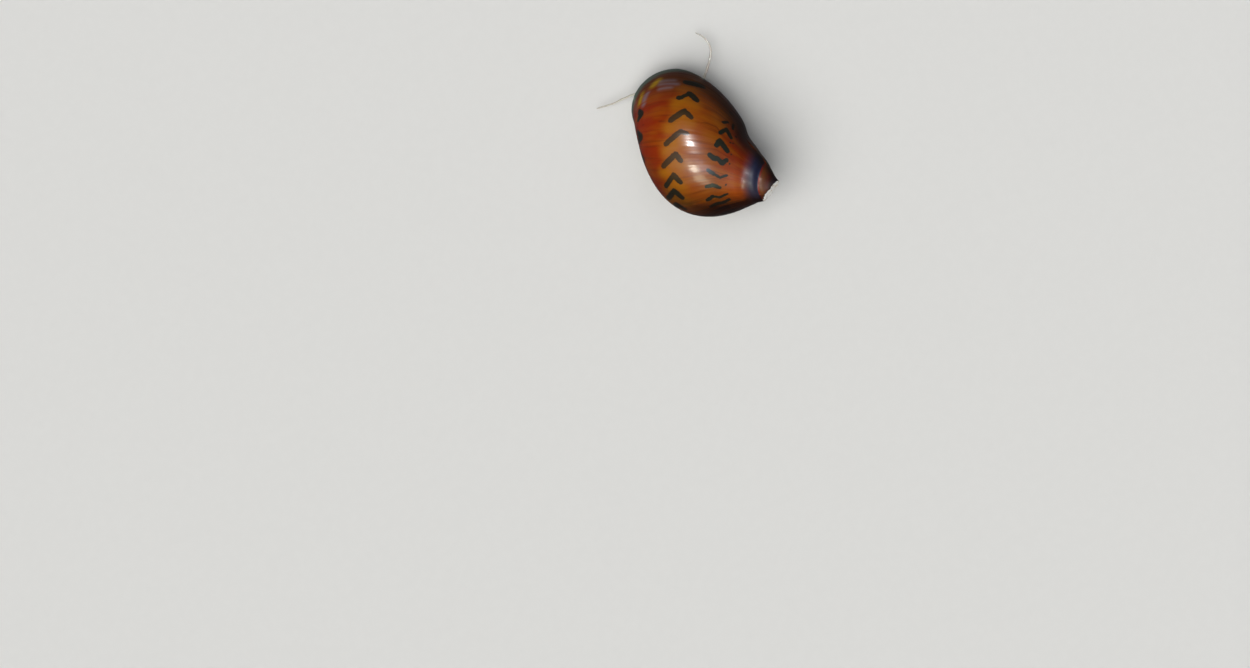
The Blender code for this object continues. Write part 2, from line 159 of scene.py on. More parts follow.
# Place along the head, height of its middle, half width and half height
HEAD_STATIONS = (
    (-2.4, 2.90, 1.60, 1.15), (-3.7, 2.85, 1.74, 1.08), (-4.4, 2.87, 1.92, 1.13),
    (-5.2, 2.85, 1.97, 1.11), (-5.9, 2.74, 1.93, 1.06), (-6.4, 2.52, 1.86, 1.00),
    (-6.8, 2.10, 1.84, 1.08), (-7.1, 1.74, 1.92, 1.12), (-7.5, 1.50, 2.02, 1.06),
    (-8.0, 1.33, 2.06, 0.91), (-8.4, 1.14, 1.92, 0.73), (-8.65, 1.02, 1.62, 0.52),
    (-8.76, 0.98, 1.25, 0.34), (-8.79, 0.97, 0.6, 0.18),
)
HEAD_BOTTOM = 0.30
HEAD_BLUNTNESS = 0.85
LIP_NOTCH = 0.30
FEELERS = {
    "right": ((-0.9, -4.6, 2.70), (-1.7, -5.0, 2.62), (-2.3, -5.5, 2.45), (-3.55, -6.65, 1.85),
              (-4.66, -7.81, 1.5), (-5.37, -8.81, 1.3), (-5.54, -9.63, 1.2), (-5.34, -10.62, 1.1),
              (-4.69, -11.6, 1.0)),
    "left": ((1.3, -4.9, 2.70), (2.1, -5.4, 2.62), (2.75, -5.9, 2.45), (3.35, -7.2, 1.9),
             (4.12, -8.1, 1.6), (5.93, -8.3, 1.35), (7.02, -8.3, 1.2), (9.09, -8.6, 1.0)),
}
FEELER_TIP = 0.085
FEELER_TAPER = 0.135
FEELER_ROOT = 0.26
FEELER_LEAST = 0.16
EYE_RADIUS = 0.26
EYE_GAP = 0.125
STALK_LENGTH = 0.55
STALK_DEPTH = 1.5
STALK_CUP = 0.22
STALK_RADII = ((0.0, 0.42), (0.45, 0.36), (0.8, 0.29), (0.93, 0.27), (1.0, 0.21))
STALK_ROOTS = {"right": (-2.12, -4.7, 3.0), "left": (2.72, -4.7, 3.0)}
STALK_AZIMUTHS = {"right": 188.0, "left": -8.0}
STALK_RISE = 18.0
WRINKLE_DEPTH = 0.022
WRINKLE_TOP = 4.2
SOLE_HEIGHT = 0.035
OPERCULUM_MIDDLE = (1.9, 3.6)
OPERCULUM_HALF_LONG = 4.053
OPERCULUM_DEEP = 4.246
OPERCULUM_BOTTOM = 1.7
OPERCULUM_EDGE = 0.10
OPERCULUM_DOME = 0.36
OPERCULUM_SAG = 0.07
OPERCULUM_RIDGE = 0.018

# Markings as strokes. A stroke is its half width in millimetres and then its points, each as
# degrees back from the lip and millimetres from the apex at the lip's own size.
CHEVRONS = (
    (0.54, (18.5, 17.8), (15, 17.0), (12, 16.1)),
    (0.36, (37, 17.9), (36, 17.7)), (0.27, (36, 17.7), (28, 16.9)),
    (0.42, (28, 16.8), (30, 15.7)),
    (0.38, (58, 18.0), (45, 16.6)), (0.32, (45, 16.6), (48, 15.5)),
    (0.34, (78, 18.1), (63, 16.4)), (0.27, (63, 16.4), (63, 15.5)),
    (0.36, (98, 18.5), (83, 16.7)), (0.32, (83, 16.7), (88, 15.9)),
    (0.32, (118, 18.8), (103, 17.0)), (0.34, (103, 17.0), (109, 16.2)),
    (0.36, (135, 19.5), (120, 17.5)), (0.38, (120, 17.5), (128, 16.6)),
    (0.42, (155, 20.0), (141, 18.3), (147, 17.6)),
    (0.42, (172, 20.2), (160, 18.6), (165, 17.8)),
)
HOOKS = (
    (0.27, (41, 11.3), (31, 10.7)), (0.30, (31, 10.7), (34, 9.6)),
    (0.34, (57, 11.2), (50, 10.9)), (0.34, (50, 10.9), (54, 9.5)),
    (0.32, (72, 11.8), (73, 11.1), (71, 10.5)), (0.30, (71, 10.5), (74, 9.9), (67, 9.3)),
    (0.24, (89, 11.8), (91, 10.9)), (0.17, (91, 10.9), (94, 10.0), (89, 8.9)),
    (0.25, (109, 12.2), (107, 11.2), (109, 10.2)),
    (0.27, (129, 12.6), (124, 11.6)), (0.17, (124, 11.6), (126, 10.5), (121, 9.2)),
    (0.25, (142, 12.7), (138, 11.5), (138, 10.5), (134, 9.3)),
    (0.30, (155, 12.6), (151, 11.5), (152, 10.3)),
    (0.30, (170, 12.5), (166, 11.4), (167, 10.2)),
    (0.20, (28, 11.5), (21, 11.0)),
    (0.22, (15, 10.2), (21, 10.0)),
    (0.26, (5, 11.5), (4, 11.2)),
    (0.26, (352, 11.5), (350, 11.1)),
    (0.26, (338, 11.4), (336, 11.0)),
)
WEDGES = (
    (0.42, (54, 22.2), (57, 21.8), (61, 22.2)),
    (0.42, (75, 22.3), (79, 21.8), (83, 22.3)),
    (0.40, (97, 22.4), (101, 21.9), (105, 22.3)),
    (0.36, (117, 22.6), (122, 21.7), (127, 22.4)),
    (0.34, (138, 22.0), (143, 21.2), (148, 21.8)),
)
SPECKS = (
    (0.17, (25, 9.1)), (0.13, (41, 9.4)), (0.12, (39, 9.0)), (0.13, (55, 8.8)), (0.13, (70, 8.8)),
    (0.15, (104, 9.1)),
)
TRAIL_DEGREES = 6.0
# A degree counts as this many millimetres when a stroke's point is looked up on the shell
DEGREE_LENGTH = 0.15
LOWEST_MARK = 0.3
STROKE_TAPER = 0.20
# Patches by the lip: amber ones, pale violet painted highlights, and a line where growth once
# rested
AMBER = ((0.26, (22.5, 20.8), (29, 21.2)), (0.20, (35, 22.1), (44, 22.3)))
PAINTED_GLINT_STROKES = ((0.12, (24.6, 20.5), (21.4, 19.2)), (0.16, (28.8, 20.5), (24.7, 18.8)),
         (0.12, (33.2, 20.3), (30.3, 19.2)), (0.20, (36.5, 21.6), (41, 21.7), (47.3, 21.7)))
REST_LINE = ((0.06, (68, 21.6), (62, 19.2), (57, 17.4), (44, 13.4), (39, 12.0), (41, 10.9)),)


# Small shared shapes

def soft_least(a, b, blend):
    """The lesser of two fields, rounded where they come within the blend of each other."""
    close = np.clip(blend - np.abs(a - b), 0.0, None) / blend
    return np.minimum(a, b) - blend * close ** 2 / 4.0


def fade(value, low, high):
    """A share that runs evenly from 0 at one value to 1 at the other."""
    return np.clip((value - low) / (high - low), 0.0, 1.0)


def ripple(*phases):
    """A bounded, smooth and uneven wave: the mean of sines of the given phases."""
    return sum(np.sin(phase) for phase in phases) / len(phases)


def hump(place, middle, half):
    """A smooth bump: 1 at its middle, falling off as a bell over its half width."""
    return np.exp(-((place - middle) / half) ** 2)


def reach_to(gain, distance, least=0.05):
    """Length of each ray to a plane at a distance, from how much of each step is towards it."""
    return np.where(gain > least, distance / np.maximum(gain, least), NEVER)


def circle(count):
    """Even angles round a full turn, as a column."""
    return np.linspace(0.0, TURN, count, endpoint=False)[:, None]


def polar_rays(azimuth, polar):
    """Unit arrows, from their azimuths and their angles off straight up."""
    return np.stack((np.sin(polar) * np.cos(azimuth), np.sin(polar) * np.sin(azimuth),
                     np.cos(polar) * np.ones_like(azimuth)), axis=-1)


def sphere_rays(columns, rows):
    """Unit arrows to all sides: columns go round from azimuth 0, rows run from the top down."""
    return polar_rays(circle(columns), np.linspace(0.0, math.pi, rows)[None, :])


# The coil

def heading(azimuth, rise):
    """A unit arrow, from its azimuth on the floor and its rise, in degrees."""
    way = math.radians(azimuth)
    tilt = math.radians(rise)
    return np.array((math.cos(tilt) * math.cos(way), math.cos(tilt) * math.sin(way),
                     math.sin(tilt)))


def deck_way():
    """The level arrow across the coil's axis, which the deck's edge faces."""
    return heading(AXIS_AZIMUTH + 90.0, 0.0)


def axis_frame():
    """The axis towards the apex, and the two directions across it at the lip."""
    turn = math.radians(LIP_TURN)
    along = heading(AXIS_AZIMUTH, AXIS_RISE)
    first = math.cos(turn) * deck_way() + math.sin(turn) * np.cross(along, deck_way())
    return along, first, np.cross(along, first)


def section_table(count=720):
    """The section's outline as polar angle and radius about its own middle: an egg, swollen by
    two slow waves of its own angle."""
    angle = np.linspace(-math.pi, math.pi, count, endpoint=False)
    swell = 1.0 + sum(c * np.cos(n * angle) + s * np.sin(n * angle) for n, c, s in SECTION_WAVES)
    across = SECTION_WIDE * np.cos(angle) * (1.0 + SECTION_EGG * np.sin(angle)) * swell
    along = SECTION_LONG * np.sin(angle) * swell
    return np.unwrap(np.arctan2(along, across)), np.hypot(across, along)


def section_measure(out, along, scale, table):
    """How far a point of the half plane lies from the section's middle: 1 is on its outline."""
    x = out / scale - SECTION_OUT
    y = along / scale + SECTION_DOWN
    across = math.cos(SECTION_TILT) * x + math.sin(SECTION_TILT) * y
    length = math.cos(SECTION_TILT) * y - math.sin(SECTION_TILT) * x
    edge = np.interp(np.arctan2(length, across), table[0], table[1], period=TURN)
    return np.hypot(across, length) / edge


def coil_place(points):
    """Height along the axis, distance out from it and angle back from the lip."""
    along, first, second = axis_frame()
    offset = points - APEX
    side = offset @ first
    rise = offset @ second
    return offset @ along, np.hypot(side, rise), np.mod(np.arctan2(rise, side), TURN)


def shell_measure(points, table):
    """Least measure over all the turns of the tube, on a point's own side of the axis and on the
    far one: under 1 is inside. Just past the lip the tube shrinks smoothly, over a quarter turn,
    to the older turn that lies there. The callus is an ellipsoid blended on."""
    height, out, back = coil_place(points)
    least = np.inf
    for angle, reach in ((back, out), (np.mod(back + math.pi, TURN), -out)):
        share = fade(angle, TURN - LIP_FADE, TURN)
        share = share * share * (3.0 - 2.0 * share)
        young = np.exp(-COIL_RATE * angle)
        scales = [young + (1.0 - young) * share]
        scales += [np.exp(-COIL_RATE * (angle + TURN * turn)) for turn in range(OLD_TURNS + 1)]
        for scale in scales:
            least = np.minimum(least, section_measure(reach, height, scale, table))
    callus = np.linalg.norm((points - CALLUS_MIDDLE) / CALLUS_HALF, axis=-1)
    return soft_least(least, callus, CALLUS_BLEND)


def outer_reach(middle, rays, table, farthest=16.0, steps=64, halvings=16):
    """Length of each ray to the shell's outside, stepping in from far away and then halving."""
    lengths = np.linspace(farthest, 0.0, steps)
    inside = np.zeros(rays.shape[:-1], dtype=bool)
    low = np.zeros(rays.shape[:-1])
    high = np.full(rays.shape[:-1], farthest)
    for near, far in zip(lengths[1:], lengths[:-1]):
        here = shell_measure(middle + rays * near, table) < 1.0
        fresh = here & ~inside
        low[fresh] = near
        high[fresh] = far
        inside |= here
    for _ in range(halvings):
        half = 0.5 * (low + high)
        here = shell_measure(middle + rays * half[..., None], table) < 1.0
        low = np.where(here, half, low)
        high = np.where(here, high, half)
    return 0.5 * (low + high)


# The shell as one surface: outside, rim and inside share the columns that go round it

def dome_rays(columns, rows):
    """Directions from the middle of the lip plane. Rows run from the apex to the level of the lip,
    closer together at both ends, and columns go round the apex."""
    pole = APEX / np.linalg.norm(APEX)
    level = np.array((-pole[1], pole[0], 0.0))
    level /= np.linalg.norm(level)
    up = np.cross(pole, level)
    turn = circle(columns)
    sideways = np.outer(np.cos(turn), level) + np.outer(np.sin(turn), up)
    last = np.arctan2(pole[2], -sideways[:, 2])
    share = np.linspace(0.0, 1.0, rows) ** 1.15
    close = 1.0 - (1.0 - share[-2]) * np.array((0.6, 0.35, 0.15, 0.0))
    polar = last[:, None] * np.concatenate((share[:-1], close))[None, :]
    return np.sin(polar)[..., None] * sideways[:, None, :] + np.cos(polar)[..., None] * pole


def coil_state(points):
    """Age as the angle grown since, distance from the apex scaled up to the lip's size, and
    signed place across the nearest suture on that scale. A suture is where the scaled distance
    is the same all along the coil, so a whole turn back it is smaller by the same rate."""
    height, out, back = coil_place(points)
    size = np.maximum(np.hypot(height, out), 1e-6) * np.exp(COIL_RATE * back)
    turns_in = -np.log(size / SUTURE_SIZE) / (COIL_RATE * TURN)
    band = np.clip(np.ceil(turns_in), 0.0, None)
    nearest = np.clip(np.round(turns_in), 0.0, None)
    seam = size * np.exp(COIL_RATE * TURN * nearest) - SUTURE_SIZE
    return back + TURN * band, size * np.exp(COIL_RATE * TURN * band), seam


def growth_place(back, size):
    """Millimetres back from the lip along the middle of the whorl. A growth line lies further
    back the further it is from the apex."""
    return (back - LINE_SLANT * np.clip(size - LINE_BEND_SIZE, 0.0, None)) * WHORL_RADIUS


def suture_relief(seam, age):
    """Height of the shoulder, the hollow outside it and the groove of the suture itself, which
    is steeper on its older side. All of it shrinks with the whorl."""
    relief = sum(height * hump(seam, middle, half)
                 for height, middle, half in (SHOULDER, SHOULDER_HOLLOW))
    half = np.where(seam > 0.0, GROOVE_WIDTHS["young side"], GROOVE_WIDTHS["old side"])
    return (relief - GROOVE_DEPTH * hump(seam, 0.0, half)) * np.exp(-COIL_RATE * age)


def worn_reach(rays):
    """Length of each ray to the worn face, a plane roughened by slow waves."""
    facing = heading(WORN_AZIMUTH, WORN_RISE)
    reach = (WORN_TIP @ facing) / np.maximum(rays @ facing, 0.05)
    x = rays[..., 0] * reach
    z = rays[..., 2] * reach
    return reach + WORN_ROUGHNESS * ripple(x * 5.1, z * 6.3 + 1.0, (x - z) * 9.7)


def outside_points(columns, rows, table):
    """The dome, cut by the worn face. Relief follows the suture, a waist narrows the whorl
    before the spire, fine ripples follow the growth lines and the lip's corner is rounded."""
    rays = dome_rays(columns, rows)
    reach = outer_reach(np.zeros(3), rays, table)
    flat = worn_reach(rays)
    worn = np.clip((reach - flat) / WORN_BORDER + 0.5, 0.0, 1.0)
    reach = soft_least(reach, flat, WORN_EDGE)
    points = rays * reach[..., None]
    age, size, seam = coil_state(points)
    growth = growth_place(age, size)
    waist = hump(np.linalg.norm(points[..., :2] - WAIST, axis=-1), 0.0, WAIST_REACH)
    first, last = RIPPLE_SIZES
    waves = ripple(growth * 5.3, growth * 8.9 + size * 0.15, growth * 13.7 - size * 0.1)
    height = RIPPLE_HEIGHT * np.clip((size - first) / (last - first), 0.1, 1.0)
    relief = suture_relief(seam, age) - WAIST_DEPTH * waist + height * waves
    points = rays * (reach + relief * (1.0 - worn))[..., None]
    low = np.clip(LIP_CORNER - points[..., 2], 0.0, LIP_CORNER)
    inward = LIP_CORNER - np.sqrt(LIP_CORNER ** 2 - low ** 2)
    points[..., :2] *= (1.0 - inward / np.hypot(points[..., 0], points[..., 1]))[..., None]
    return points, {"worn": worn, "seam": seam, "age": age, "size": size}


def rim_points(outer, aperture, rows):
    """Level rows from the outer edge of the lip to the edge of the aperture, a little hollow
    between them and rounded at both edges."""
    share = np.linspace(0.0, 1.0, rows + 2)[1:-1]
    share = 0.5 - 0.5 * np.cos(math.pi * share)
    level = outer[:, None, :2] + (aperture[:, None, :2] - outer[:, None, :2]) * share[None, :, None]
    width = np.linalg.norm(aperture[:, :2] - outer[:, :2], axis=1)
    bulge = fade(width, *RIM_WIDTHS)[:, None] * np.sin(math.pi * share)[None, :] ** 1.5
    waves = ripple(level[..., 0] * 2.1, level[..., 1] * 2.7)
    height = (RIM_WAVE * waves - RIM_HOLLOW) * bulge
    return np.concatenate((level, height[..., None]), axis=-1)


def deck_front(points):
    """Distance in front of the deck's edge, which runs along the coil's axis with a few low
    teeth at its middle."""
    offset = points - APEX
    run = offset @ heading(AXIS_AZIMUTH, 0.0)
    teeth = DECK_TEETH["height"] * hump(run, -DECK_TEETH["middle"], DECK_TEETH["half"])
    return offset @ deck_way() - teeth * np.cos(run * DECK_TEETH["pitch"])


def inside_points(azimuth, aperture, rows, table):
    """The hollow, seen from a point over the aperture: the outside less the wall, stopped at the
    deck's top and edge and below the spire."""
    edge = aperture - INNER_MIDDLE
    last = np.arctan2(np.hypot(edge[:, 0], edge[:, 1]), edge[:, 2])
    polar = last[:, None] * np.linspace(1.0, 0.0, rows)[None, :] ** 0.9
    rays = polar_rays(azimuth[:, None], polar)
    inner = hollow_reach(rays, outer_reach(INNER_MIDDLE, rays, table))
    down = -rays[..., 2]
    to_edge = reach_to(-(rays @ deck_way()), deck_front(INNER_MIDDLE), 0.02)
    to_top = reach_to(down, INNER_MIDDLE[2] - DECK_THICK, 0.02)
    deck = -soft_least(-to_edge, -to_top, DECK_ROUND)
    floor = reach_to(down, INNER_MIDDLE[2], 0.02)
    reach = np.minimum(soft_least(inner, deck, CORNER_ROUND), floor)
    return INNER_MIDDLE + rays * reach[..., None]


def aperture_points(outer):
    """The aperture's edge in the lip plane: the lip's outline less its wall, or the deck's edge
    where that is nearer the middle."""
    reach = np.hypot(outer[:, 0], outer[:, 1])
    way = outer / reach[:, None]
    gain = -(way @ deck_way())
    to_edge = reach_to(gain, deck_front(np.zeros(3)))
    for _ in range(5):
        to_edge = np.minimum(to_edge, 20.0)
        to_edge = to_edge + reach_to(gain, deck_front(way * to_edge[:, None]))
    inner = reach - WALL_SLANT * LIP_WALL
    return way * soft_least(inner, to_edge, APERTURE_ROUND)[:, None]


def hollow_reach(rays, outer):
    """The outside less the wall, stopped below the spire, along rays from the inner middle."""
    height = np.clip((INNER_MIDDLE[2] + rays[..., 2] * outer) / (2.5 * DECK_THICK), 0.0, 1.0)
    inner = outer - WALL_SLANT * (LIP_WALL + (WALL - LIP_WALL) * height)
    along = heading(AXIS_AZIMUTH, AXIS_RISE)
    stop = (APEX - INNER_MIDDLE) @ along - HOLLOW_END
    return soft_least(inner, reach_to(rays @ along, stop), SPIRE_ROUND)


def stroke_distance(points, strokes, lookup, moved=0.0):
    """Distance in millimetres from each point to the nearest stroke less its half width. Strokes
    are runs of points on the shell, joined by straight lines, and taper towards both ends. They
    may be moved some degrees back along the growth."""
    nearest = np.full(points.shape[:-1], FAR)
    for half_width, *stroke in strokes:
        knots = [lookup(back + moved, size) for back, size in stroke]
        knots = knots if len(knots) > 1 else knots * 2
        count = len(knots) - 1
        for i in range(count):
            start = knots[i]
            run = knots[i + 1] - start
            share = np.clip(((points - start) @ run) / max(run @ run, 1e-9), 0.0, 1.0)
            gap = np.linalg.norm(points - start - share[..., None] * run, axis=-1)
            place = (i + share) / count
            taper = STROKE_TAPER * (1.0 - np.sin(math.pi * (0.14 + 0.76 * place)))
            nearest = np.minimum(nearest, gap - half_width * (1.0 - taper))
    return nearest


def stroke_fields(points, age, size, inner):
    """Distance to each kind of marking, which is far everywhere inside the shell. A place on the
    shell is looked up among the points of the last whorl by its degrees and its size."""
    whorl = (age < TURN) & (inner == 0) & (points[..., 2] > LOWEST_MARK)
    places = points[whorl]
    keys = np.stack((np.degrees(age[whorl]) * DEGREE_LENGTH, size[whorl]), axis=1)

    def lookup(degrees, distance):
        gap = np.linalg.norm(keys - np.array((degrees * DEGREE_LENGTH, distance)), axis=1)
        return places[np.argmin(gap)]

    kinds = {"marks": CHEVRONS + HOOKS + WEDGES + SPECKS, "amber": AMBER, "painted_glint": PAINTED_GLINT_STROKES,
             "rest": REST_LINE}
    fields = {key: stroke_distance(points, kinds[key], lookup) for key in kinds}
    starts = [stroke[:3] for stroke in CHEVRONS]
    fields["halo"] = stroke_distance(points, starts, lookup, TRAIL_DEGREES)
    return {key: fields[key] + np.where(inner > 0.5, FAR, 0.0) for key in fields}


def painted_flank_shade(points):
    """Painted shade: how dark the flanks are painted, as if unlit, from the surface's own slope and
    the way it faces: more towards the flank's azimuth, and from a little higher up at the rear."""
    normal = np.cross(np.gradient(points, axis=1),
                      np.roll(points, -1, axis=0) - np.roll(points, 1, axis=0))
    normal /= np.maximum(np.linalg.norm(normal, axis=-1), 1e-9)[..., None]
    rear = np.clip(normal @ heading(REAR_AZIMUTH, 0.0), 0.0, 1.0)
    start = FLANK_RISE[0] + FLANK_RISE[1] * rear
    steep = np.clip((start - np.abs(normal[..., 2])) / FLANK_FADE, 0.0, 1.0)
    facing = normal @ heading(FLANK_AZIMUTH, 0.0)
    side = np.clip(FLANK_SIDE[0] + FLANK_SIDE[1] * facing, 0.0, 1.0)
    return steep * side * (FLANK_REAR[0] + FLANK_REAR[1] * rear)


def build_shell_mesh(columns, rows, rim_rows, inner_rows):
    """Outside, rim and inside as one closed grid, with the fields that its material reads."""
    table = section_table()
    outside, fields = outside_points(columns, rows, table)
    outer = outside[:, -1] * np.array((1.0, 1.0, 0.0))
    aperture = aperture_points(outer)
    rim = rim_points(outer, aperture, rim_rows)
    inside = inside_points(np.arctan2(outer[:, 1], outer[:, 0]), aperture, inner_rows, table)
    points = np.concatenate((outside, rim, inside), axis=1)
    hidden = points[:, outside.shape[1]:]
    inner = np.zeros(points.shape[:-1])
    inner[:, outside.shape[1]:] = 1.0
    age, size, seam = coil_state(hidden)
    rest = {"worn": 0.0 * seam, "seam": 0.0 * seam + FAR, "age": age, "size": size}
    fields = {key: np.concatenate((fields[key], rest[key]), axis=1) for key in fields}
    age = fields["age"]
    size = fields["size"]
    fields |= stroke_fields(points, age, size, inner)
    fields |= {"growth": growth_place(age, size), "inner": inner, "age": age / TURN,
               "shade": painted_flank_shade(points) * (1.0 - inner)}
    return points + np.array((0.0, 0.0, LIP_HEIGHT)), fields


# The flesh: closed grids, one for each part, that a voxel skin then draws into one

def smooth_path(points, count):
    """Even steps along a curve that passes the points (Catmull-Rom, with its ends mirrored)."""
    knots = np.array(points)
    knots = np.vstack((2.0 * knots[0] - knots[1], knots, 2.0 * knots[-1] - knots[-2]))
    t = np.linspace(0.0, 1.0, 24, endpoint=False)[None, :, None]
    a, b, c, d = (knots[i:len(knots) - 3 + i, None, :] for i in range(4))
    fine = 0.5 * (2.0 * b + (c - a) * t + (2.0 * a - 5.0 * b + 4.0 * c - d) * t ** 2
                  + (3.0 * b - a - 3.0 * c + d) * t ** 3)
    fine = np.vstack((fine.reshape(-1, knots.shape[1]), knots[-2]))
    run = np.concatenate(((0.0,), np.cumsum(np.linalg.norm(np.diff(fine, axis=0), axis=1))))
    even = np.linspace(0.0, run[-1], count)
    return np.stack([np.interp(even, run, fine[:, k]) for k in range(fine.shape[1])], axis=1)


def tube_grid(path, radii, sides):
    """A tube: circles carried along a path, square to it, with its ends drawn to points."""
    tangent = np.gradient(path, axis=0)
    tangent /= np.linalg.norm(tangent, axis=1)[:, None]
    level = np.stack((-tangent[:, 1], tangent[:, 0], np.zeros(len(path))), axis=1)
    level /= np.linalg.norm(level, axis=1)[:, None]
    up = np.cross(tangent, level)
    turn = circle(sides)[..., None]
    return path + radii[None, :, None] * (np.cos(turn) * level + np.sin(turn) * up)


def round_off(radii, steps=6):
    """Radii whose last steps close in as a quarter circle."""
    close = np.sqrt(1.0 - np.linspace(0.0, 1.0, steps) ** 2)
    return np.concatenate((radii[:-steps], radii[-steps:] * close))


def full(wave, power):
    """A sine or cosine with fuller shoulders: its size is raised to a power below 1."""
    return np.sign(wave) * np.abs(wave) ** power


def turned(middle, along, across, azimuth):
    """Floor coordinates, from lengths along an azimuth and to its left about a middle."""
    way = math.radians(azimuth)
    return (middle[0] + (along * math.cos(way) - across * math.sin(way)),
            middle[1] + (along * math.sin(way) + across * math.cos(way)))


def oval_grid(turn, middle, half_long, half_wide, height, azimuth, taper):
    """Rows of egg outlines, a little squarer than ellipses, blunt end along the azimuth."""
    along = half_long * full(np.cos(turn), BLUNTNESS)
    across = half_wide * full(np.sin(turn), BLUNTNESS) * (1.0 + taper * np.cos(turn))
    x, y = turned(middle, along, across, azimuth)
    return np.stack((x, y, np.broadcast_to(height, x.shape)), axis=-1)


def foot_grid():
    """The foot: a flat sole, a thin wavy margin and a low rounded back, as insets from one egg
    outline. Each row runs round the foot, from the sole's middle to the back's."""
    inset, rise = smooth_path(FOOT_PROFILE, 70).T
    turn = circle(200)
    edge = hump(inset, 0.0, FRILL_REACH)
    frill = FRILL * (1.0 + ripple(turn * 13.0, turn * 21.0 + 1.3, turn * 34.0)) * edge
    inset = inset + frill
    rise = np.maximum(rise, 0.0) * (1.0 + FRILL * ripple(turn * 17.0, turn * 29.0) * edge)
    return oval_grid(turn, FOOT_MIDDLE, FOOT_HALF_LONG - inset, FOOT_HALF_WIDE - inset, rise,
                     -90.0, FOOT_TAPER)


def trunk_grid():
    """The column from the foot into the shell: an oval that narrows to a waist and widens into
    the foot's back and the mantle, with faint upright pleats."""
    half_long, half_wide, height = smooth_path(TRUNK_STATIONS, 60).T
    turn = circle(120)
    pleat = 1.0 + PLEAT_DEPTH * np.sin(turn * PLEATS) * np.sin(math.pi * fade(height, 1.0, 4.0))
    return oval_grid(turn, TRUNK_MIDDLE, np.abs(half_long) * pleat, np.abs(half_wide) * pleat,
                     height, AXIS_AZIMUTH, 0.0)


def head_grid():
    """Head and snout: rounded squares of given sizes across one line that dips to the floor, with
    low folds across the snout, a notch in the middle of its lip and flatter sides below."""
    y, middle, half_wide, half_high = smooth_path(HEAD_STATIONS, 110).T
    turn = circle(96)
    snout = fade(y, -6.3, -7.5)
    fold = 1.0 - 0.010 * snout * (1.0 + np.sin(y * 13.0 + 0.5 * np.cos(turn * 3.0)))
    x = half_wide * full(np.cos(turn), HEAD_BLUNTNESS) * fold
    z = middle + half_high * full(np.sin(turn), HEAD_BLUNTNESS) * fold
    notch = LIP_NOTCH * hump(x, 0.0, LIP_NOTCH) * fade(y, -7.6, -8.8)
    return np.stack((HEAD_X + x, y + notch, np.maximum(z, HEAD_BOTTOM)), axis=-1)


def mantle_grid(table):
    """The soft body in the shell: the hollow, seen from its middle, less a small gap, on a level
    floor above the deck."""
    rays = sphere_rays(120, 80)
    inner = hollow_reach(rays, outer_reach(INNER_MIDDLE, rays, table)) - MANTLE_GAP
    reach = soft_least(inner, reach_to(-rays[..., 2], MANTLE_FLOOR, 0.01), MANTLE_ROUND)
    return INNER_MIDDLE + rays * reach[..., None] + np.array((0.0, 0.0, LIP_HEIGHT))


def feeler_radii(count, least=0.0):
    """Radii along a tentacle: a wide root, then an even taper to a thin tip."""
    share = np.linspace(0.0, 1.0, count)
    radii = FEELER_TIP + FEELER_TAPER * (1.0 - share) ** 1.2
    return np.maximum(radii + FEELER_ROOT * hump(share, 0.0, 0.13), least)


def feeler_path(side):
    """Even points along a tentacle, from inside the head to its tip."""
    return smooth_path(FEELERS[side], 150)


def eye_line(side):
    """Where an eye stalk ends, and the way it points."""
    way = heading(STALK_AZIMUTHS[side], STALK_RISE)
    return np.array(STALK_ROOTS[side]) + way * STALK_LENGTH, way


def stalk_grid(side):
    """An eye stalk: a tapering tube from inside the head to the cup that holds the eye."""
    end, way = eye_line(side)
    share = np.linspace(0.0, 1.0, 40)
    start = end - way * STALK_DEPTH
    line = start + (end + way * STALK_CUP - start) * share[:, None]
    return tube_grid(line, np.interp(share, *zip(*STALK_RADII)), 32)


def flesh_grids(table):
    """All the closed grids that make up the flesh, in millimetres."""
    grids = [foot_grid(), trunk_grid(), head_grid(), mantle_grid(table)]
    for side in FEELERS:
        path = feeler_path(side)
        radii = round_off(feeler_radii(len(path), FEELER_LEAST))
        grids += [tube_grid(path, radii, 24), stalk_grid(side)]
    return grids


def draw_together(name, grids, voxel, smoothing):
    """One closed skin over overlapping grids: a voxel remesh, then a few rounds of smoothing."""
    verts = []
    faces = []
    for grid in grids:
        part_verts, part_faces = grid_faces(grid)
        for corners in part_faces:
            faces += (corners + len(verts)).tolist()
        verts += part_verts.tolist()
    rough = bpy.data.meshes.new(name + "_rough")
    rough.from_pydata(verts, [], faces)
    item = add_object(name + "_rough", rough)
    remesh = item.modifiers.new("Skin", "REMESH")
    remesh.mode = "VOXEL"
    remesh.voxel_size = voxel
    smooth = item.modifiers.new("Smooth", "SMOOTH")
    smooth.factor = 0.5
    smooth.iterations = smoothing
    shaped = item.evaluated_get(bpy.context.evaluated_depsgraph_get())
    mesh = bpy.data.meshes.new_from_object(shaped)
    mesh.name = name
    bpy.data.objects.remove(item)
    bpy.data.meshes.remove(rough)
    mesh.shade_smooth()
    return mesh


def thin_feelers(points):
    """Tentacles are drawn thick enough for the voxels. This squeezes them to their true radius,
    and gives how far each point is on a tentacle and its share of the way along."""
    on_feeler = np.zeros(len(points))
    run = np.zeros(len(points))
    for side in FEELERS:
        path = feeler_path(side)
        drawn = feeler_radii(len(path), FEELER_LEAST)
        thinner = 1.0 - feeler_radii(len(path)) / drawn
        close = (points > path.min(axis=0) - 0.5) & (points < path.max(axis=0) + 0.5)
        near = np.flatnonzero(close.all(axis=1))
        gaps = np.linalg.norm(points[near, None, :] - path[None, :, :], axis=2)
        place = gaps.argmin(axis=1)
        share = place / len(path)
        own = np.clip((drawn[place] + 0.14 - gaps.min(axis=1)) / 0.08, 0.0, 1.0)
        own *= fade(share, 0.16, 0.26)
        squeeze = 1.0 - own * thinner[place]
        points[near] = path[place] + (points[near] - path[place]) * squeeze[:, None]
        run[near] = np.where(own > 0.0, share, run[near])
        on_feeler[near] = np.maximum(on_feeler[near], own)
    return on_feeler, run


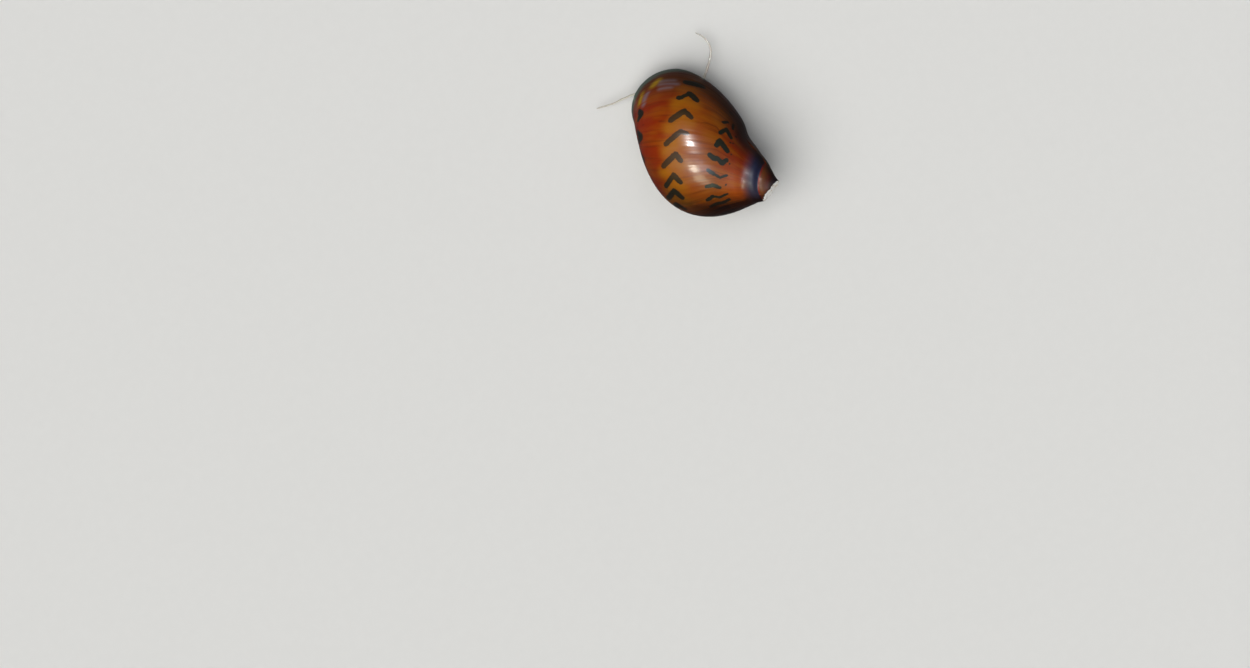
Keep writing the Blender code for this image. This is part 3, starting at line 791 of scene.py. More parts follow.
def build_skin_mesh(voxel, smoothing):
    """The skin, with its sole pressed flat, low wrinkles and the fields that its material reads."""
    mesh = draw_together("soft_skin", flesh_grids(section_table()), voxel, smoothing)
    flat = np.empty(len(mesh.vertices) * 3, np.float32)
    mesh.vertices.foreach_get("co", flat)
    points = flat.reshape(-1, 3).astype(float)
    mesh.vertices.foreach_get("normal", flat)
    normal = flat.reshape(-1, 3).astype(float)
    on_feeler, run = thin_feelers(points)
    x, y, z = points.T
    wrinkle = ripple(x * 9.1 + 2.0 * np.sin(y * 1.3), y * 11.3 + 1.5 * np.sin(x * 1.7),
                     (x + y) * 7.7 + z * 5.0, z * 12.1 + x * 3.0)
    above = fade(z, 0.15, 0.45) * (1.0 - on_feeler) * (z < WRINKLE_TOP)
    points = points - normal * (WRINKLE_DEPTH * (1.0 + wrinkle) * above)[:, None]
    points[:, 2] = np.where(points[:, 2] < SOLE_HEIGHT, 0.0, points[:, 2])
    mesh.vertices.foreach_set("co", ((points - ORIGIN) * MM).astype(np.float32).ravel())
    put_fields(mesh, {"feeler": on_feeler, "run": run})
    mesh.update()
    return mesh


def eye_grid(side):
    """A sphere just past the stalk's end."""
    end, way = eye_line(side)
    return end + way * (EYE_RADIUS + EYE_GAP) + EYE_RADIUS * sphere_rays(48, 32)


def operculum_grid(columns=160, rows=48):
    """The door: a half oval, as shares of its outline about its middle, a little domed on top,
    thin at its edge, with low ridges that follow the outline."""
    turn = circle(columns)
    share = np.sin(0.5 * math.pi * np.clip(np.linspace(0.0, 2.0, rows), 0.0, 1.0))
    under = np.arange(rows) >= rows // 2
    share = np.where(under, share[::-1], share)
    bow = np.abs(np.sin(turn))
    side = np.where(np.sin(turn) > 0.0, bow ** 0.85, -0.12 * bow)
    along = OPERCULUM_HALF_LONG * share * np.cos(turn)
    deep = OPERCULUM_DEEP * share * (0.5 - side)
    deep = np.where(share < 1e-6, 0.5 * deep, deep)
    ridges = OPERCULUM_RIDGE * np.cos(share * 42.0 + turn) * (1.0 - share)
    top = OPERCULUM_EDGE + OPERCULUM_DOME * (1.0 - share ** 2.4) ** 0.7 + ridges
    bottom = OPERCULUM_EDGE - OPERCULUM_SAG * (1.0 - share ** 3)
    height = OPERCULUM_BOTTOM + np.where(under, bottom, top)
    x, y = turned(OPERCULUM_MIDDLE, along, deep, AXIS_AZIMUTH)
    return np.stack((x, y, np.broadcast_to(height, x.shape)), axis=-1)


# Meshes and pieces

def grid_faces(points):
    """Points and faces of a closed surface from a grid (columns, rows, 3). Columns join up round
    the grid, and the first and last rows are drawn together into poles."""
    columns, rows = points.shape[:2]
    verts = np.concatenate((points[:, 0].mean(axis=0)[None, :],
                            points[:, 1:-1].transpose(1, 0, 2).reshape(-1, 3),
                            points[:, -1].mean(axis=0)[None, :]))
    ring = np.arange(columns)
    beside = (ring + 1) % columns
    body = 1 + np.arange(rows - 3)[:, None] * columns
    quads = np.stack((body + ring, body + columns + ring, body + columns + beside, body + beside),
                     axis=-1).reshape(-1, 4)
    end = len(verts) - 1
    last = 1 + (rows - 3) * columns
    caps = np.concatenate((np.stack((np.zeros_like(ring), 1 + ring, 1 + beside), axis=1),
                           np.stack((np.full_like(ring, end), last + beside, last + ring), axis=1)))
    middle = verts.mean(axis=0)
    corners = verts[quads] - middle
    volume = np.einsum("ij,ij->i", corners[:, 0], np.cross(corners[:, 1], corners[:, 2]))
    if volume.sum() < 0.0:
        quads = quads[:, ::-1]
        caps = caps[:, ::-1]
    return verts, (quads, caps)


def put_fields(mesh, fields):
    """Stores a number for each point under each name."""
    for key, values in fields.items():
        layer = mesh.attributes.new(key, "FLOAT", "POINT")
        layer.data.foreach_set("value", values.astype(np.float32))


def grid_mesh(name, points, fields=None):
    """A closed mesh from a grid of points in millimetres, placed in the frame in metres."""
    verts, (quads, caps) = grid_faces(points)
    mesh = bpy.data.meshes.new(name)
    mesh.from_pydata((verts - ORIGIN) * MM, [], quads.tolist() + caps.tolist())
    mesh.shade_smooth()
    put_fields(mesh, {key: np.concatenate((grid[:1, 0], grid[:, 1:-1].T.ravel(), grid[:1, -1]))
                      for key, grid in (fields or {}).items()})
    return mesh


def add_object(name, data):
    """A new object in the scene."""
    item = bpy.data.objects.new(name, data)
    bpy.context.scene.collection.objects.link(item)
    return item


def add_piece(name, mesh, material, nodes):
    """A finished piece on the only body, standing for its CAD nodes."""
    piece = add_object(name, mesh)
    mesh.materials.clear()
    mesh.materials.append(material)
    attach(piece, "root")
    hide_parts(*nodes)


# Shader trees

class Wire:
    """An output in a shader tree. Arithmetic with it adds the node that does the sum."""

    def __init__(self, nodes, socket):
        self.nodes = nodes
        self.socket = socket

    def __add__(self, other):
        return self.nodes.math("ADD", self, other)

    def __sub__(self, other):
        return self.nodes.math("SUBTRACT", self, other)

    def __rsub__(self, other):
        return self.nodes.math("SUBTRACT", other, self)

    def __mul__(self, other):
        return self.nodes.math("MULTIPLY", self, other)

    def step(self, low, high, to_low=0.0, to_high=1.0):
        """A soft step of this number: one result up to low, the other from high on."""
        return self.nodes.add("ShaderNodeMapRange", {
            "Value": self, "From Min": low, "From Max": high, "To Min": to_low, "To Max": to_high},
            interpolation_type="SMOOTHSTEP")

    def paint(self, share, colour):
        """This colour, painted over with another by a share."""
        return self.nodes.mix(share, self, colour)


class Nodes:
    """Short calls that add nodes to a shader tree and join them up."""

    def __init__(self, tree):
        self.tree = tree

    def put(self, sockets, values):
        """Links or sets sockets by their names or places."""
        for key, value in values.items():
            socket = sockets[key]
            if isinstance(value, Wire):
                self.tree.links.new(value.socket, socket)
            elif socket.type == "RGBA":
                socket.default_value = (*value, 1.0)
            else:
                socket.default_value = value

    def new(self, kind, inputs, **settings):
        """A new node."""
        node = self.tree.nodes.new(kind)
        for key, value in settings.items():
            setattr(node, key, value)
        self.put(node.inputs, inputs)
        return node

    def wires(self, node):
        """All outputs of a node, by name."""
        return {socket.name: Wire(self, socket) for socket in node.outputs}

    def add(self, kind, inputs, output=0, **settings):
        """One output of a new node."""
        return Wire(self, self.new(kind, inputs, **settings).outputs[output])

    def math(self, operation, *values):
        return self.add("ShaderNodeMath", dict(enumerate(values)), operation=operation)

    def mix(self, share, first, second):
        return self.add("ShaderNodeMix", {"Factor": share, 6: first, 7: second}, 2,
                        data_type="RGBA", clamp_factor=True)

    def field(self, name):
        return self.add("ShaderNodeAttribute", {}, "Fac", attribute_name=name)

    def place(self):
        return self.add("ShaderNodeTexCoord", {}, "Object")

    def height(self, place):
        return self.add("ShaderNodeSeparateXYZ", {"Vector": place}, "Z")

    def vector(self, x, y, z=0.0):
        return self.add("ShaderNodeCombineXYZ", {"X": x, "Y": y, "Z": z})

    def noise(self, vector, scale, detail=3.0, roughness=0.5, distortion=0.0):
        return self.add("ShaderNodeTexNoise", {"Vector": vector, "Scale": scale, "Detail": detail,
                                               "Roughness": roughness, "Distortion": distortion})

    def ramp(self, share, *stops):
        node = self.new("ShaderNodeValToRGB", {"Fac": share})
        ends = node.color_ramp.elements
        while len(ends) < len(stops):
            ends.new(0.5)
        for end, (position, colour) in zip(ends, stops):
            end.position = position
            end.color = (*colour, 1.0)
        return Wire(self, node.outputs[0])

    def group(self, tree, inputs):
        return self.wires(self.new("ShaderNodeGroup", inputs, node_tree=tree))

    def bump(self, height, strength, depth):
        return self.add("ShaderNodeBump", {"Height": height, "Strength": strength,
                                           "Distance": depth})

    def surface(self, inputs):
        """Ends a material with a Principled shader."""
        shader = self.add("ShaderNodeBsdfPrincipled", inputs)
        self.new("ShaderNodeOutputMaterial", {"Surface": shader})


def new_group(name, inputs, outputs):
    """A node group with a default for each number input, None for a vector input, and number
    outputs."""
    tree = bpy.data.node_groups.new(name, "ShaderNodeTree")
    for key, value in inputs.items():
        kind = "NodeSocketVector" if value is None else "NodeSocketFloat"
        socket = tree.interface.new_socket(key, in_out="INPUT", socket_type=kind)
        if value is not None:
            socket.default_value = value
    for key in outputs:
        tree.interface.new_socket(key, in_out="OUTPUT", socket_type="NodeSocketFloat")
    nodes = Nodes(tree)
    given = nodes.wires(tree.nodes.new("NodeGroupInput"))
    return nodes, given, tree.nodes.new("NodeGroupOutput").inputs


def growth_group():
    """Growth lines: uneven streaks that are narrow along the growth and long across it. Puts out
    a fine height, a slow tint and a sharp one, each round a half."""
    name = "Growth lines"
    if name in bpy.data.node_groups:
        return bpy.data.node_groups[name]
    nodes, given, out = new_group(name, {"Growth": 0.0, "Across": 0.0, "Fineness": 1.0},
                                  ("Height", "Slow tint", "Sharp tint"))
    run = given["Growth"] * given["Fineness"]
    across = given["Across"]
    nodes.put(out, {
        "Height": nodes.noise(nodes.vector(run * 7.0, across * 0.35), 1.0, 4.0, 0.6),
        "Slow tint": nodes.noise(nodes.vector(run * 0.9, across * 0.22, 3.0), 1.0, 2.0),
        "Sharp tint": nodes.noise(nodes.vector(run * 3.1, across * 0.12, 7.0), 1.0, 2.0)})
    return nodes.tree


def grain_group():
    """Wet grain: small rounded cells at two sizes for a height, and soft blotches for a tint."""
    name = "Wet grain"
    if name in bpy.data.node_groups:
        return bpy.data.node_groups[name]
    nodes, given, out = new_group(name, {"Place": None, "Grain size": 0.0002},
                                  ("Height", "Blotch", "Cells"))
    place = given["Place"]
    scale = nodes.math("DIVIDE", 1.0, given["Grain size"])
    cells = nodes.add("ShaderNodeTexVoronoi", {"Vector": place, "Scale": scale}, "Distance",
                      feature="SMOOTH_F1")
    fine = nodes.noise(place, scale * 2.3, 2.0)
    nodes.put(out, {"Height": (1.0 - cells) * 0.75 + fine * 0.25,
                    "Blotch": nodes.noise(place, scale * 0.22, 3.0, 0.6), "Cells": cells})
    return nodes.tree


def new_material(name):
    """A material with an empty tree."""
    material = bpy.data.materials.new(name)
    material.use_nodes = True
    material.node_tree.nodes.clear()
    return material, Nodes(material.node_tree)


# Materials. Colours are linear. A zone is a share of the lip's size and its colour.

WHORL_ZONES = (
    (0.16, (0.020, 0.007, 0.008)), (0.22, (0.200, 0.030, 0.002)), (0.33, (0.360, 0.058, 0.001)),
    (0.46, (0.240, 0.052, 0.002)), (0.60, (0.290, 0.058, 0.002)), (0.70, (0.340, 0.080, 0.002)),
)
GROUND_ZONE = 0.78
FAR_ZONE = (0.93, (0.250, 0.018, 0.001))
SPIRE_ZONES = (
    (0.20, (0.010, 0.003, 0.002)), (0.29, (0.020, 0.003, 0.002)), (0.33, (0.080, 0.003, 0.002)),
    (0.375, (0.105, 0.020, 0.005)), (0.43, (0.165, 0.040, 0.003)), (0.49, (0.120, 0.018, 0.002)),
)
FRESH_RED = (0.170, 0.014, 0.001)
STREAK_BROWN = (0.06, 0.010, 0.002)
NAVY = (0.003, 0.014, 0.046)
SUTURE_RED = (0.22, 0.010, 0.006)
REST_BROWN = (0.03, 0.008, 0.002)
DUSK_BROWN = (0.050, 0.018, 0.002)
THIN_GREEN = (0.104, 0.178, 0.143)
AMBER_TINT = (0.450, 0.260, 0.003)
# Painted highlight: pale violet for the streaks by the lip
PAINTED_GLINT_VIOLET = (0.235, 0.185, 0.205)
# Painted shade: near black-brown for the steep flanks
PAINTED_SHADE_BROWN = (0.010, 0.0024, 0.0012)
CHALKS = ((0.50, 0.38, 0.24), (0.90, 0.88, 0.84))
CREAMS = ((0.62, 0.52, 0.36), (0.74, 0.70, 0.60))
SOLE_BUFF = (0.42, 0.37, 0.29)
EYE_BLACKS = ((0.004, 0.003, 0.003), (0.016, 0.011, 0.008))
DOOR_LINE = (0.02, 0.014, 0.010)
SHELL_FIELDS = ("age", "size", "growth", "seam", "marks", "halo", "amber", "painted_glint", "rest",
                "shade", "worn", "inner")


def whorl_ground(nodes, field, lines, older, settings):
    """Zones of colour across the whorl, redder by the suture on the latest growth, with slow
    ochre tints and sharp dark streaks along the growth, and then the spire's own zones."""
    share = nodes.math("DIVIDE", field["size"], LIP_SIZE)
    base = nodes.ramp(share, *WHORL_ZONES, (GROUND_ZONE, tuple(settings.red)), FAR_ZONE)
    fresh = field["size"].step(12.5, 8.5) * field["age"].step(0.29, 0.15)
    base = base.paint(fresh * 0.85, FRESH_RED)
    base = base.paint(lines["Slow tint"].step(0.40, 0.70) * 0.30, tuple(settings.ochre))
    base = base.paint(lines["Sharp tint"].step(0.52, 0.70) * 0.35, STREAK_BROWN)
    return base.paint(older, nodes.ramp(share, *SPIRE_ZONES))


def suture_bands(base, seam, older):
    """A navy band on the young side of the suture, weaker on the spire, and a thin red line."""
    navy = seam.step(3.0, 1.2) * seam.step(-0.05, 0.05)
    base = base.paint(navy * (0.94 - older * 0.4), NAVY)
    return base.paint(base.nodes.math("ABSOLUTE", seam).step(0.12, 0.05), SUTURE_RED)


def growth_traces(base, field, lines, older, ochre):
    """The line where growth once rested, a dusky belt at the lip, an ochre trail behind each
    chevron and a slow darkening with age."""
    base = base.paint(field["rest"].step(0.10, -0.03) * 0.45, REST_BROWN)
    dusk = field["growth"].step(3.0, -1.0) * (1.0 - older)
    base = base.paint(dusk * 0.70, DUSK_BROWN)
    trail = field["halo"].step(1.1, -0.3) * lines["Slow tint"].step(0.25, 0.60, 0.45, 0.80)
    base = base.paint(trail * (1.0 - dusk), ochre)
    return base.paint(field["age"].step(0.20, 0.37, 0.0, 0.27), DUSK_BROWN)


def lip_tints(base, height, field, lines):
    """The thin pale lip with its uneven upper edge, broken amber patches and pale violet painted
    highlights.
    """
    sharp = lines["Sharp tint"]
    thin = (height + (lines["Slow tint"] * 1.2 - 0.6)).step(1.9, 0.7)
    base = base.paint(thin * sharp.step(0.35, 0.65, 0.94, 0.75), THIN_GREEN)
    broken = sharp.step(0.36, 0.54, 0.35, 1.0)
    base = base.paint(field["amber"].step(0.62, -0.30) * broken * 0.92, AMBER_TINT)
    # Painted highlights: broken pale violet streaks on the steep part by the lip
    return base.paint(field["painted_glint"].step(0.50, -0.18) * broken * 0.66, PAINTED_GLINT_VIOLET)


def ink_marks(base, wobble, field, colour):
    """Blackish marks with a slightly uneven edge, a little thinner in the middle of the row."""
    age = field["age"]
    size = field["size"]
    ink = (field["marks"] + (wobble - 0.5) * 0.16).step(0.05, -0.05)
    thinner = (age.step(0.11, 0.15) * age.step(0.33, 0.27)) * (
        size.step(13.0, 15.0) * size.step(21.0, 19.5))
    return base.paint(ink * (0.94 - thinner * 0.12), colour)


def shell_material(settings):
    """Glossy red-brown shell: ground, suture, growth, lip and marks, painted one over the other,
    then painted shade on the steep flanks, the worn white tip and the cream inside. The coat is
    weaker on the band by the suture, on the spire, on the flanks and where the shell is worn."""
    material, nodes = new_material("Nerite shell")
    field = {name: nodes.field(name) for name in SHELL_FIELDS}
    place = nodes.place()
    ochre = tuple(settings.ochre)
    lines = nodes.group(growth_group(), {"Growth": field["growth"], "Across": field["size"],
                                         "Fineness": 1.0})
    height = nodes.height(place) * (1.0 / MM) - LIP_HEIGHT
    older = field["age"].step(0.90, 1.06)
    base = whorl_ground(nodes, field, lines, older, settings)
    base = suture_bands(base, field["seam"], older)
    base = growth_traces(base, field, lines, older, ochre)
    base = lip_tints(base, height, field, lines)
    base = ink_marks(base, nodes.noise(place, 4200.0, 2.0), field, tuple(settings.marks))
    # Painted shade: the steep flanks are darkened towards near black-brown
    base = base.paint(field["shade"] * 0.96, PAINTED_SHADE_BROWN)
    pits = nodes.noise(place, 2600.0, 3.0, 0.7)
    bare = (field["worn"] + (pits - 0.5) * 0.5).step(0.35, 0.6)
    base = base.paint(bare, nodes.mix(pits.step(0.30, 0.50), *CHALKS))
    base = base.paint(field["inner"], nodes.mix(pits.step(0.3, 0.7), *CREAMS))
    band = field["seam"].step(3.0, 1.8)
    dull = bare * 0.8
    for other in (older * 0.95, band * 0.95, field["shade"] * 0.75):
        dull = nodes.math("MAXIMUM", dull, other)
    relief = (lines["Height"] + pits * bare * 4.0) * field["size"].step(5.0, 14.0, 0.15, 1.0)
    nodes.surface({
        "Base Color": base, "Roughness": band * 0.16 + 0.29 + bare * 0.4,
        "Specular IOR Level": 0.18, "Coat Weight": 1.0 - dull, "Coat Roughness": 0.15,
        "Coat IOR": 1.22, "Normal": nodes.bump(relief, 0.20, settings.line_depth)})
    return material


def skin_material(settings):
    """Moist skin: grey-buff with dark blotches and pale flecks, paler feelers with a dark line,
    and a pale sole."""
    material, nodes = new_material("Snail skin")
    place = nodes.place()
    height = nodes.height(place)
    dark = tuple(settings.dark)
    pale = tuple(settings.pale)
    grain = nodes.group(grain_group(), {"Place": place, "Grain size": 0.00016})
    spots = nodes.noise(place, 3600.0, 3.0, 0.55, 0.2)
    base = nodes.mix(grain["Blotch"].step(0.38, 0.66) * 0.55, tuple(settings.buff), pale)
    low = height.step(0.0012, 0.0005)
    base = base.paint(spots.step(0.46, 0.66) * (0.80 - low * 0.35), dark)
    flecks = grain["Cells"].step(0.26, 0.12) * spots.step(0.52, 0.44)
    base = base.paint(flecks * 0.35, pale)
    line = nodes.noise(nodes.vector(nodes.field("run") * 60.0, 0.0), 1.0, 2.0)
    feeler = nodes.mix(line.step(0.48, 0.70) * 0.22, pale, dark)
    base = base.paint(nodes.field("feeler") * 0.92, feeler)
    base = base.paint(height.step(0.0003, 0.00005), SOLE_BUFF)
    nodes.surface({
        "Base Color": base, "Roughness": grain["Blotch"].step(0.2, 0.8, 0.30, 0.50),
        "Subsurface Weight": 0.12, "Subsurface Scale": 0.0006, "Coat Weight": 0.6,
        "Coat Roughness": 0.12, "Coat IOR": 1.33,
        "Normal": nodes.bump(grain["Height"], 0.5, settings.grain_depth)})
    return material


def eye_material():
    """Deep black, glossy, with a breath of brown."""
    material, nodes = new_material("Snail eye")
    cloud = nodes.noise(nodes.place(), 5000.0, 2.0)
    nodes.surface({
        "Base Color": nodes.mix(cloud, *EYE_BLACKS), "Roughness": cloud.step(0.0, 1.0, 0.05, 0.14),
        "Coat Weight": 1.0, "Coat Roughness": 0.02})
    return material


def operculum_material(settings):
    """A dark grained door with paler growth lines towards its edge."""
    material, nodes = new_material("Operculum")
    grain = nodes.group(grain_group(), {"Place": nodes.place(), "Grain size": 0.00030})
    lines = nodes.group(growth_group(), {"Growth": nodes.field("share") * 6.0, "Across": 0.0,
                                         "Fineness": 0.8})
    base = nodes.mix(grain["Blotch"].step(0.35, 0.65), tuple(settings.door_dark),
                     tuple(settings.door_pale))
    nodes.surface({
        "Base Color": base.paint(lines["Sharp tint"].step(0.45, 0.65) * 0.5, DOOR_LINE),
        "Roughness": grain["Blotch"].step(0.2, 0.8, 0.35, 0.55),
        "Normal": nodes.bump(grain["Height"] + lines["Height"], 0.5, 0.00004)})
    return material


def floor_material(colour):
    """A plain pale floor with a faint, even tooth."""
    material, nodes = new_material("Pale floor")
    tooth = nodes.noise(nodes.place(), 900.0, 2.0)
    nodes.surface({"Base Color": nodes.mix(tooth, tuple(0.97 * part for part in colour), colour),
                   "Roughness": 0.85})
    return material


# Stage

FOCUS = np.array((-0.0022, 0.0005, 0.008))
LAMP_DISTANCE = 0.9
# Name, way from the focus, width, power and colour of each lamp that only adds gloss
LAMPS = (
    ("Key", (-0.199, -0.274, 0.941), 0.12, 9.0, (1.0, 1.0, 1.0)),
    ("Second", (0.178, 0.264, 0.948), 0.18, 4.8, (1.0, 0.97, 0.80)),
    ("Low", (0.230, 0.560, 0.796), 0.24, 1.9, (0.95, 1.0, 0.75)),
    ("Cool", (-0.060, 0.255, 0.965), 0.27, 1.5, (0.70, 0.82, 1.0)),
)
SUN_POWER = 2.6
SUN_WIDTH = math.radians(55.0)
SUN_TURN = (math.radians(28.0), 0.0, math.radians(110.0))
SKY = ((0.16, 0.16, 0.17), (1.30, 1.36, 1.45))
SKY_STRENGTH = 0.30
CAMERA_PLACE = (0.01542, 0.01711)
CAMERA_TURN = math.radians(154.4)
SHARP_LEVEL = 0.006


def lay_floor(radius, colour):
    """A flat disk, with rings closer together at its middle. It isn't seen in the gloss."""
    turn = circle(96)
    reach = radius * np.linspace(0.0, 1.0, 14) ** 2
    verts = np.stack((np.cos(turn) * reach, np.sin(turn) * reach, 0.0 * turn * reach), axis=-1)
    column = np.arange(turn.size)[:, None] * reach.size
    beside = (column + reach.size) % (turn.size * reach.size)
    row = np.arange(reach.size - 1)[None, :]
    faces = np.stack((column + row, column + row + 1, beside + row + 1, beside + row), axis=-1)
    mesh = bpy.data.meshes.new("floor")
    mesh.from_pydata(verts.reshape(-1, 3), [], faces.reshape(-1, 4).tolist())
    mesh.materials.append(floor_material(colour))
    floor = add_object("floor", mesh)
    floor.visible_glossy = False


def light_sky(scene):
    """A soft sky: grey at the level of the floor, paler and bluer overhead."""
    scene.world = bpy.data.worlds.new("Studio")
    scene.world.use_nodes = True
    nodes = Nodes(scene.world.node_tree)
    up = nodes.height(nodes.add("ShaderNodeTexCoord", {}, "Generated"))
    nodes.put(nodes.tree.nodes["Background"].inputs, {
        "Color": nodes.mix(up.step(0.40, 0.95), *SKY), "Strength": SKY_STRENGTH})


def hang_lamps():
    """A wide soft sun that adds no gloss, and round lamps that face the focus and add only that."""
    sun = bpy.data.lights.new("Soft sun", "SUN")
    sun.energy = SUN_POWER
    sun.angle = SUN_WIDTH
    item = add_object("Soft sun", sun)
    item.rotation_euler = SUN_TURN
    item.visible_glossy = False
    for name, way, width, power, colour in LAMPS:
        lamp = bpy.data.lights.new(name, "AREA")
        lamp.shape = "DISK"
        lamp.size = width
        lamp.energy = power
        lamp.color = colour
        item = add_object(name, lamp)
        x, y, z = way
        item.location = FOCUS + LAMP_DISTANCE * np.array(way)
        item.rotation_euler = (math.acos(z / math.hypot(x, y, z)), 0.0,
                               math.atan2(-y, -x) - math.pi / 2.0)
        item.visible_diffuse = False


def set_camera(scene, height, width):
    """A camera that looks straight down, as wide as asked at the level of the shell."""
    lens = bpy.data.cameras.new("Camera")
    lens.sensor_width = 36.0
    lens.lens = lens.sensor_width * (height - SHARP_LEVEL) / width
    lens.clip_end = 50.0
    scene.camera = add_object("Camera", lens)
    scene.camera.location = (*CAMERA_PLACE, height)
    scene.camera.rotation_euler = (0.0, 0.0, CAMERA_TURN)
    scene.view_settings.view_transform = "Standard"


# Settings

class ShellSettings(bpy.types.PropertyGroup):
    """Sizes and colours of the shell."""
    columns: bpy.props.IntProperty(
        name="Columns", description="Facets round the shell", default=320, min=64, max=480)
    rows: bpy.props.IntProperty(
        name="Rows", description="Facets from the apex to the lip", default=180, min=48, max=260)
    line_depth: bpy.props.FloatProperty(
        name="Line depth", description="Depth of the fine growth lines",
        default=0.00003, min=0.0, max=0.0005, subtype="DISTANCE", unit="LENGTH")
    red: bpy.props.FloatVectorProperty(
        name="Ground", description="Red-brown ground colour of the shell",
        default=(0.230, 0.022, 0.001), size=3, min=0.0, max=1.0, subtype="COLOR")
    ochre: bpy.props.FloatVectorProperty(
        name="Ochre", description="Ochre of the trails behind the chevrons",
        default=(0.370, 0.130, 0.003), size=3, min=0.0, max=1.0, subtype="COLOR")
    marks: bpy.props.FloatVectorProperty(
        name="Markings", description="Blackish colour of the chevrons",
        default=(0.001, 0.014, 0.010), size=3, min=0.0, max=1.0, subtype="COLOR")


class FleshSettings(bpy.types.PropertyGroup):
    """Fineness and colours of the skin and the operculum."""
    voxel: bpy.props.FloatProperty(
        name="Facet size", description="Size of the skin's facets in millimetres",
        default=0.09, min=0.05, max=0.4)
    smoothing: bpy.props.IntProperty(
        name="Smoothing", description="Rounds of smoothing over the joined parts",
        default=5, min=0, max=30)
    grain_depth: bpy.props.FloatProperty(
        name="Grain depth", description="Depth of the skin's fine grain",
        default=0.00004, min=0.0, max=0.0005, subtype="DISTANCE", unit="LENGTH")
    buff: bpy.props.FloatVectorProperty(
        name="Skin", description="Grey-buff ground colour of the skin",
        default=(0.220, 0.185, 0.135), size=3, min=0.0, max=1.0, subtype="COLOR")
    dark: bpy.props.FloatVectorProperty(
        name="Blotches", description="Dark blotches on the skin",
        default=(0.060, 0.050, 0.042), size=3, min=0.0, max=1.0, subtype="COLOR")
    pale: bpy.props.FloatVectorProperty(
        name="Flecks", description="Pale flecks and feelers",
        default=(0.52, 0.48, 0.40), size=3, min=0.0, max=1.0, subtype="COLOR")
    door_dark: bpy.props.FloatVectorProperty(
        name="Operculum", description="Dark colour of the operculum",
        default=(0.045, 0.036, 0.030), size=3, min=0.0, max=1.0, subtype="COLOR")
    door_pale: bpy.props.FloatVectorProperty(
        name="Operculum, pale", description="Paler colour of the operculum",
        default=(0.120, 0.090, 0.062), size=3, min=0.0, max=1.0, subtype="COLOR")


class StageSettings(bpy.types.PropertyGroup):
    """Floor, lights and camera."""
    floor_radius: bpy.props.FloatProperty(
        name="Floor radius", description="Radius of the floor",
        default=6.0, min=0.5, max=20.0, subtype="DISTANCE", unit="LENGTH")
    floor_colour: bpy.props.FloatVectorProperty(
        name="Floor", description="Colour of the floor",
        default=(0.70, 0.69, 0.66), size=3, min=0.0, max=1.0, subtype="COLOR")
    camera_height: bpy.props.FloatProperty(
        name="Camera height", description="Height of the camera over the floor",
        default=1.2, min=0.2, max=3.0, subtype="DISTANCE", unit="LENGTH")
    view_width: bpy.props.FloatProperty(
        name="View width", description="Width of the picture at the shell",
        default=0.14045, min=0.02, max=1.0, subtype="DISTANCE", unit="LENGTH")


# Operators

class NERITE_OT_shell(bpy.types.Operator):
    """Build the coiled shell with its markings."""
    bl_idname = "nerite.shell"
    bl_label = "Shell"

    def execute(self, context):
        settings = context.scene.nerite_shell
        points, fields = build_shell_mesh(settings.columns, settings.rows, 14, 46)
        mesh = grid_mesh("coiled_shell", points, fields)
        add_piece("coiled_shell", mesh, shell_material(settings), ("shell",))
        return {"FINISHED"}


class NERITE_OT_skin(bpy.types.Operator):
    """Draw foot, head, feelers, stalks and the body in the shell into one skin."""
    bl_idname = "nerite.skin"
    bl_label = "Skin"

    def execute(self, context):
        settings = context.scene.nerite_flesh
        mesh = build_skin_mesh(settings.voxel, settings.smoothing)
        lengths = ("base", "middle", "tip")
        nodes = ["mantle", "trunk", "foot_front", "foot_middle", "foot_tail", "head", "snout"]
        nodes += ["tentacle_" + side + "_" + length for side in FEELERS for length in lengths]
        nodes += ["eyestalk_" + side for side in FEELERS]
        add_piece("soft_skin", mesh, skin_material(settings), nodes)
        return {"FINISHED"}


class NERITE_OT_eyes(bpy.types.Operator):
    """Set the two black eyes in the tips of their stalks."""
    bl_idname = "nerite.eyes"
    bl_label = "Eyes"

    def execute(self, context):
        material = eye_material()
        for side in FEELERS:
            mesh = grid_mesh("eyeball_" + side, eye_grid(side))
            add_piece("eyeball_" + side, mesh, material, ("eye_" + side,))
        return {"FINISHED"}


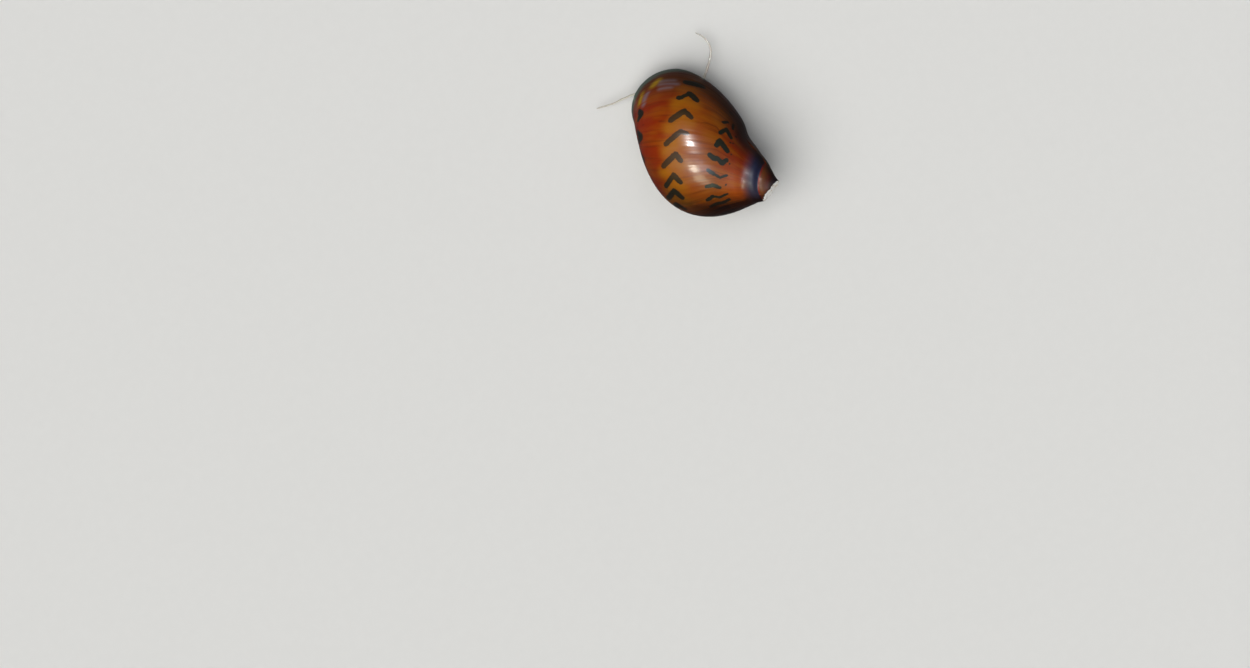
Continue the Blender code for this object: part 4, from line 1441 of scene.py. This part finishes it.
class NERITE_OT_operculum(bpy.types.Operator):
    """Lay the door on the back of the tail."""
    bl_idname = "nerite.operculum"
    bl_label = "Operculum"

    def execute(self, context):
        points = operculum_grid()
        share = 1.0 - np.abs(np.linspace(-1.0, 1.0, points.shape[1]))
        mesh = grid_mesh("operculum_door", points,
                         {"share": np.broadcast_to(share, points.shape[:2])})
        add_piece("operculum_door", mesh, operculum_material(context.scene.nerite_flesh),
                  ("operculum",))
        return {"FINISHED"}


class NERITE_OT_stage(bpy.types.Operator):
    """Lay the floor, hang the lights and set the camera."""
    bl_idname = "nerite.stage"
    bl_label = "Stage"

    def execute(self, context):
        settings = context.scene.nerite_stage
        lay_floor(settings.floor_radius, tuple(settings.floor_colour))
        light_sky(context.scene)
        hang_lamps()
        set_camera(context.scene, settings.camera_height, settings.view_width)
        return {"FINISHED"}


class NERITE_PT_panel(bpy.types.Panel):
    """Lists the pieces of the snail in the sidebar."""
    bl_idname = "NERITE_PT_panel"
    bl_label = "Nerite snail"
    bl_space_type = "VIEW_3D"
    bl_region_type = "UI"
    bl_category = "Nerite"

    def draw(self, context):
        for operator in OPERATORS:
            self.layout.operator(operator.bl_idname)
        for name in SETTINGS:
            settings = getattr(context.scene, name)
            box = self.layout.box()
            for key in settings.__annotations__:
                box.prop(settings, key)


SETTINGS = {"nerite_shell": ShellSettings, "nerite_flesh": FleshSettings,
            "nerite_stage": StageSettings}
OPERATORS = (NERITE_OT_shell, NERITE_OT_skin, NERITE_OT_eyes, NERITE_OT_operculum,
             NERITE_OT_stage)
CLASSES = (*SETTINGS.values(), *OPERATORS, NERITE_PT_panel)


def register():
    for item in CLASSES:
        bpy.utils.register_class(item)
    for name, group in SETTINGS.items():
        setattr(bpy.types.Scene, name, bpy.props.PointerProperty(type=group))


def unregister():
    for name in SETTINGS:
        delattr(bpy.types.Scene, name)
    for item in reversed(CLASSES):
        bpy.utils.unregister_class(item)


def main():
    register()
    bpy.ops.nerite.shell()
    bpy.ops.nerite.skin()
    bpy.ops.nerite.eyes()
    bpy.ops.nerite.operculum()
    bpy.ops.nerite.stage()


if __name__ == "__main__":
    main()
